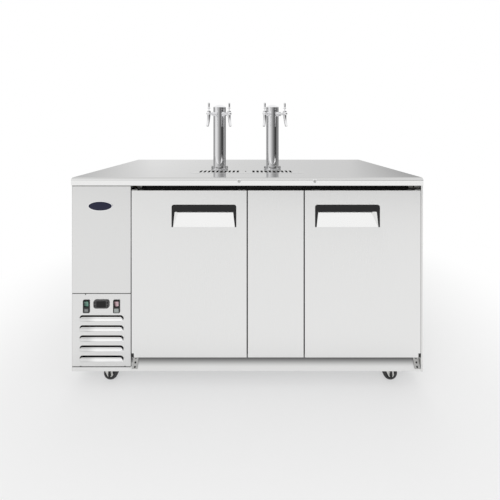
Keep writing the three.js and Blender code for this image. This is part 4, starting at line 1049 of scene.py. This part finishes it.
# %% Levers
ball = [(7.0 * math.cos(math.radians(a)), 7.0 * math.sin(math.radians(a))) for a in range(-80, 61, 14)]
lever_profile = ball + [(3.1, 8.0), (3.0, 14.6), (8.2, 15.0), (9.0, 15.6), (9.0, 17.2),
                        (8.4, 17.9), (5.2, 18.6), (4.9, 20), (5.0, 26), (5.4, 38), (5.5, 45.5),
                        (5.1, 47.6), (3.8, 48.8), (1.0, 49.0)]
for name in FAUCETS:
    at_pivot = faucet_place(name) @ Matrix.Translation((0, -REACH, PIVOT))
    settle(f"lever_{name}", moved(spun(lever_profile, 32), at_pivot), "chrome", f"lever_{name}",
           [f"tap_lever_{name}"])

# %% [markdown]
# ## Casters
# Stamped zinc forks on ball races carry rubber wheels. The fork's legs narrow down to a round
# lobe at the axle, which is what shows below the rail at the front. Legs, crown and bolt are
# gathered into one mesh, since they turn together.

# %% Forks
CASTERS = {"front_left": (-708, -309), "front_right": (708, -309),
           "rear_left": (-708, 297), "rear_right": (708, 297)}
TRAIL, WHEEL_R = 16.0, 35.0
PLATE_Y, BOLT_TOP = 15, 102.6


def fork():
    leg = [(-24, 88), (-23.6, 82)] + arc(TRAIL, WHEEL_R, 16, 195, 345, 18) + [(23.6, 82), (24, 88)]
    eye = circle(TRAIL, WHEEL_R, 5.4, 20)
    legs = [front_plate(leg, [eye], *span) for span in ((-PLATE_Y, -12.5), (12.5, PLATE_Y))]
    rims = [moved(spun([(12.6, 0), (12.6, 1.0), (11.2, 1.6), (9.6, 1.0), (9.6, 0)], 32, closed=True),
                  Matrix.Translation((TRAIL, y, WHEEL_R)) @ FACING @ Matrix.Rotation(turn, 4, "X"))
            for y, turn in ((-14.9, 0), (14.9, math.pi))]
    crown = spun([(6.0, 84), (24, 84), (24, 86.6), (21.5, 88), (6.0, 88)], 48)
    web = block((-24, 24), (-PLATE_Y, PLATE_Y), (84.2, 87.8))
    stud = spun([(5.4, 84), (5.4, BOLT_TOP - 0.2), (4.8, BOLT_TOP)], 24)
    bolt = facing(spun([(4, -19.5), (4, 15.2)], 24), TRAIL, 0, WHEEL_R)
    nut = facing(plate(circle(0, 0, 7.0, 6), (), -19.0, -15.1), TRAIL, 0, WHEEL_R)
    return gathered(*legs, *rims, crown, web, stud, bolt, nut)


print("a fork has", len(fork().faces), "faces")

# %% [markdown]
# A wheel is spun from one section: a hub, a thinner web and a tread with round shoulders. A black
# plate on the fork's face, over the end of the axle bolt, is painted shade for the dark middle of
# the fork leg, and turns with the fork.

# %% Wheels and fork shade plates
def fork_shade_plate():
    return front_plate(rounded(around(TRAIL - 1, 9.6), (18, 60), 4.7), (), -19.6, -15.1)


def wheel():
    side = [(4.5, 11), (10, 11), (11.4, 10), (12.2, 6.5), (22, 6.5), (23.2, 9.6), (24.4, 10.9)]
    tyre = arc(WHEEL_R - 5.5, 5.5, 5.5, 90, 0, 6) + arc(WHEEL_R - 5.5, -5.5, 5.5, 0, -90, 6)
    profile = [(r, -w) for r, w in side] + tyre[::-1] + side[::-1]
    return facing(spun(profile, 72, closed=True), TRAIL, 0, WHEEL_R)


for corner, (x, y) in CASTERS.items():
    body = f"fork_{corner}"
    settle(body, shifted(fork(), x, y, 0), "zinc_plate", body, [f"caster_fork_{corner}"], edge=0.4)
    settle(f"fork_shade_plate_{corner}", shifted(fork_shade_plate(), x, y, 0), "black_moulding", body, edge=0.6)
    settle(f"wheel_{corner}", shifted(wheel(), x, y, 0), "wheel_rubber", f"wheel_{corner}",
           [f"caster_wheel_{corner}"])

# %% [markdown]
# ## Machinery
# Behind the louvres are a finned condenser, its fan in a shroud, and the compressor pot. The
# evaporator hangs inside the keg space with a guarded fan. They are seen through slots and open
# doors, so they get their real forms: thin fins, copper pipes, pitched blades, a wire guard.

# %% Condenser and shroud
MACHINE_X = -717.85
COIL_WIDTH, FINS, FIN, END_PLATE, COIL_FOOT = 252, 72, 0.5, 1.5, 103.3
coil_x, coil_y, coil_z = around(MACHINE_X, COIL_WIDTH), (-316.0, -286.0), (120.0, 370.0)
fins = [block(around(coil_x[0] + COIL_WIDTH * (i + 0.5) / FINS, FIN), coil_y, coil_z)
        for i in range(FINS)]
ends = [block((x, x + END_PLATE), coil_y, (COIL_FOOT, coil_z[1]))
        for x in (coil_x[0], coil_x[1] - END_PLATE)]
settle("condenser_fins", gathered(*fins, *ends), "galvanised_sheet", "cabinet", ["condenser_coil"])
levels = [coil_z[0] + 12.5 + 25 * i for i in range(10)]
runs = [swept([(coil_x[0] + 0.4, -301, z), (coil_x[1] - 0.4, -301, z)], 4.6, 12) for z in levels]
settle("condenser_pipes", gathered(*runs), "copper_pipe", "cabinet")
settle("shroud_sheet", cad_copy("fan_shroud"), "pot_enamel", "cabinet", ["fan_shroud"], edge=0.5)

# %% [markdown]
# A fan blade is steep at the hub and flatter at the tip, widest in between, and arched across its
# width. It is lofted from nine sections along its radius, and both fans of the machine share it.

# %% Fan blades
HUB, HUB_LENGTH, BORE, BLADES, CHORD, PITCH, TWIST = 20, 18, 3.6, 5, 40, 28, 14


def blade_section(radius, t):
    r = HUB - 1 + (radius - HUB) * t
    twist = math.radians(PITCH + TWIST * (1 - t))
    half = CHORD / 2 * (0.72 + 0.28 * math.sin(math.pi * (0.25 + 0.6 * t)))
    half = min(half, math.sqrt(radius ** 2 - r ** 2) + CHORD * 0.2)
    loop = []
    for face, row in ((0.6, range(-5, 6)), (-0.6, range(5, -6, -1))):
        for j in row:
            s = j / 5
            u, w = s * half, face * (1 - 0.7 * s * s) + 2.4 * (1 - s * s)
            loop.append((r, u * math.cos(twist) - w * math.sin(twist),
                         u * math.sin(twist) * 0.5 + w * math.cos(twist) - 1.0))
    return loop


def fan(radius):
    end = HUB_LENGTH / 2
    parts = [spun([(BORE, -end), (HUB - 1.5, -end), (HUB, -end + 1.5), (HUB, end - 1.5),
                   (HUB - 1.5, end), (BORE, end)], 40, closed=True)]
    for k in range(BLADES):
        blade = loft([blade_section(radius, i / 8) for i in range(9)])
        parts.append(moved(blade, Matrix.Rotation(math.radians(90 + 360 * k / BLADES), 4, "Z")))
    return gathered(*parts)


settle("condenser_blades", facing(fan(90), MACHINE_X, -272.7, 245), "galvanised_sheet",
       "condenser_fan_body", ["condenser_fan"])

# %% [markdown]
# The compressor is a welded steel pot on four rubber grommets, with a terminal box on its side. A
# copper pipe runs from it along the side of the compartment to the front.

# %% Compressor
POT_PLACE = (MACHINE_X, 69, 0)
pot = spun([(74, 117.5), (77.6, 118.5), (78, 122), (78, 196), (80, 198), (80, 203), (78, 205),
            (78, 262), (76.5, 276), (71, 289), (60, 299), (44, 305), (24, 307), (4, 307.3)], 64)
foot = plate(rounded((-90, 90), (-90, 90), 14, 6), (), 115.4, 119.2)
settle("compressor_pot", shifted(gathered(pot, foot), *POT_PLACE), "pot_enamel", "cabinet",
       ["compressor"], edge=0.4)
grommet = [(7, 103.4), (8.2, 105), (8.2, 108), (6.4, 109.5), (8.2, 111), (8.2, 114), (7, 115.6)]
grommets = [shifted(spun(grommet, 24), dx, dy, 0) for dx in (-76, 76) for dy in (-76, 76)]
settle("compressor_grommets", shifted(gathered(*grommets), *POT_PLACE), "wheel_rubber", "cabinet")
terminal_box = shifted(block((-26, 26), (-94, -70), (186, 240)), *POT_PLACE)
settle("compressor_terminal_box", terminal_box, "black_moulding", "cabinet", edge=3, segments=3)
suction = [(76, 69, 240), (92, 69, 242), (104, 66, 256), (108, 60, 290), (108, 40, 330),
           (108, 0, 352), (108, -120, 356), (108, -262, 356)]
settle("suction_pipe", shifted(swept(suction, 4.8, 12), MACHINE_X, 0, 0), "copper_pipe", "cabinet")

# %% [markdown]
# The evaporator's cover is a folded white box, so its copy gets rounded edges only. Its fan blows
# into the keg space through a guard of six rings and four spokes, bent from wire.

# %% Evaporator cover, its fan and guard
FAN_X, FAN_Y, FAN_Z, RING_X, SPOKE_X = -450.6, 4.6, 827.9, -438.2, -437.0


def on_guard(x, radius, angle):
    turn = math.radians(angle)
    return x, FAN_Y + radius * math.cos(turn), FAN_Z + radius * math.sin(turn)


settle("evaporator_housing", cad_copy("evaporator_cover"), "liner_white", "cabinet",
       ["evaporator_cover"], edge=1.0)
settle("evaporator_blades", moved(fan(73), Matrix.Translation((FAN_X, FAN_Y, FAN_Z)) @ SIDEWAYS),
       "liner_white", "evaporator_fan_body", ["evaporator_fan"])
guard = [swept([on_guard(RING_X, radius, 7.5 * k) for k in range(48)], 0.9, 8, closed=True)
         for radius in (22, 36, 50, 64, 78, 86)]
guard += [swept([on_guard(SPOKE_X, radius, 45 + 90 * k) for radius in (20, 88)], 1.2, 8)
          for k in range(4)]
settle("evaporator_guard", gathered(*guard), "chrome", "cabinet")

# %% [markdown]
# ## Floor
# The cabinet stands on a plain pale floor that fades into the white backdrop, so that only its
# own soft shadow separates it from the page. One large square is enough. It lies a little below
# the wheels, so that no two surfaces share a plane.

# %% Floor sheet
FLOOR_HALF, BELOW = 7.2, 0.0005
floor_mesh = bpy.data.meshes.new("floor")
ground = bmesh.new()
bmesh.ops.create_grid(ground, x_segments=1, y_segments=1, size=FLOOR_HALF)
ground.to_mesh(floor_mesh)
ground.free()
floor = bpy.data.objects.new("floor", floor_mesh)
floor.location.z = -BELOW
scene.collection.objects.link(floor)
print("floor:", 2 * FLOOR_HALF, "m wide")

# %% [markdown]
# A studio would curve the paper up behind the object, but that suits one view only. So the fade
# follows the distance from the footprint instead. It is a plain white emission that grows for the
# camera's rays and for mirrored ones, so it lights nothing on the object.

# %% Floor paper
FOOTPRINT = (0.86, 0.36, 0)
# how the paper fades for each kind of ray: (from, to, share of white at the footprint)
FADES = {"Is Camera Ray": (0.1, 1.3, 0.45), "Is Glossy Ray": (0.0, 0.3, 0.5),
         "Is Transmission Ray": (0.1, 1.3, 0.45)}
paper = bpy.data.materials.new("floor_paper")
paper.use_nodes = True
diffuse = paper.node_tree.nodes["Principled BSDF"]
diffuse.inputs["Base Color"].default_value = (0.86, 0.86, 0.86, 1)
diffuse.inputs["Roughness"].default_value = 0.8
diffuse.inputs["Specular IOR Level"].default_value = 0.2


def paper_maths(kind, operation, *values):
    return add_node(paper, kind, enumerate(values), operation=operation).outputs


beside = add_node(paper, "ShaderNodeTexCoord").outputs["Object"]
for operation, *values in (("ABSOLUTE",), ("SUBTRACT", FOOTPRINT), ("MAXIMUM", (0, 0, 0))):
    beside = paper_maths("ShaderNodeVectorMath", operation, beside, *values)["Vector"]
apart = paper_maths("ShaderNodeVectorMath", "LENGTH", beside)["Value"]
ray = add_node(paper, "ShaderNodeLightPath").outputs
share = 0.0
for rays, (near, far, least) in FADES.items():
    fade = add_node(paper, "ShaderNodeMapRange",
                    {"Value": apart, "From Min": near, "From Max": far, "To Min": least},
                    interpolation_type="SMOOTHSTEP").outputs[0]
    part = paper_maths("ShaderNodeMath", "MULTIPLY", ray[rays], fade)[0]
    share = paper_maths("ShaderNodeMath", "MAXIMUM", share, part)[0]
white = add_node(paper, "ShaderNodeEmission", {"Color": WHITE, "Strength": 1.0}).outputs[0]
blend = add_node(paper, "ShaderNodeMixShader", {0: share, 1: diffuse.outputs[0], 2: white}).outputs[0]
paper.node_tree.links.new(blend, paper.node_tree.nodes["Material Output"].inputs["Surface"])
floor_mesh.materials.append(paper)
print("the paper turns white", FADES["Is Camera Ray"][1], "m from the cabinet")
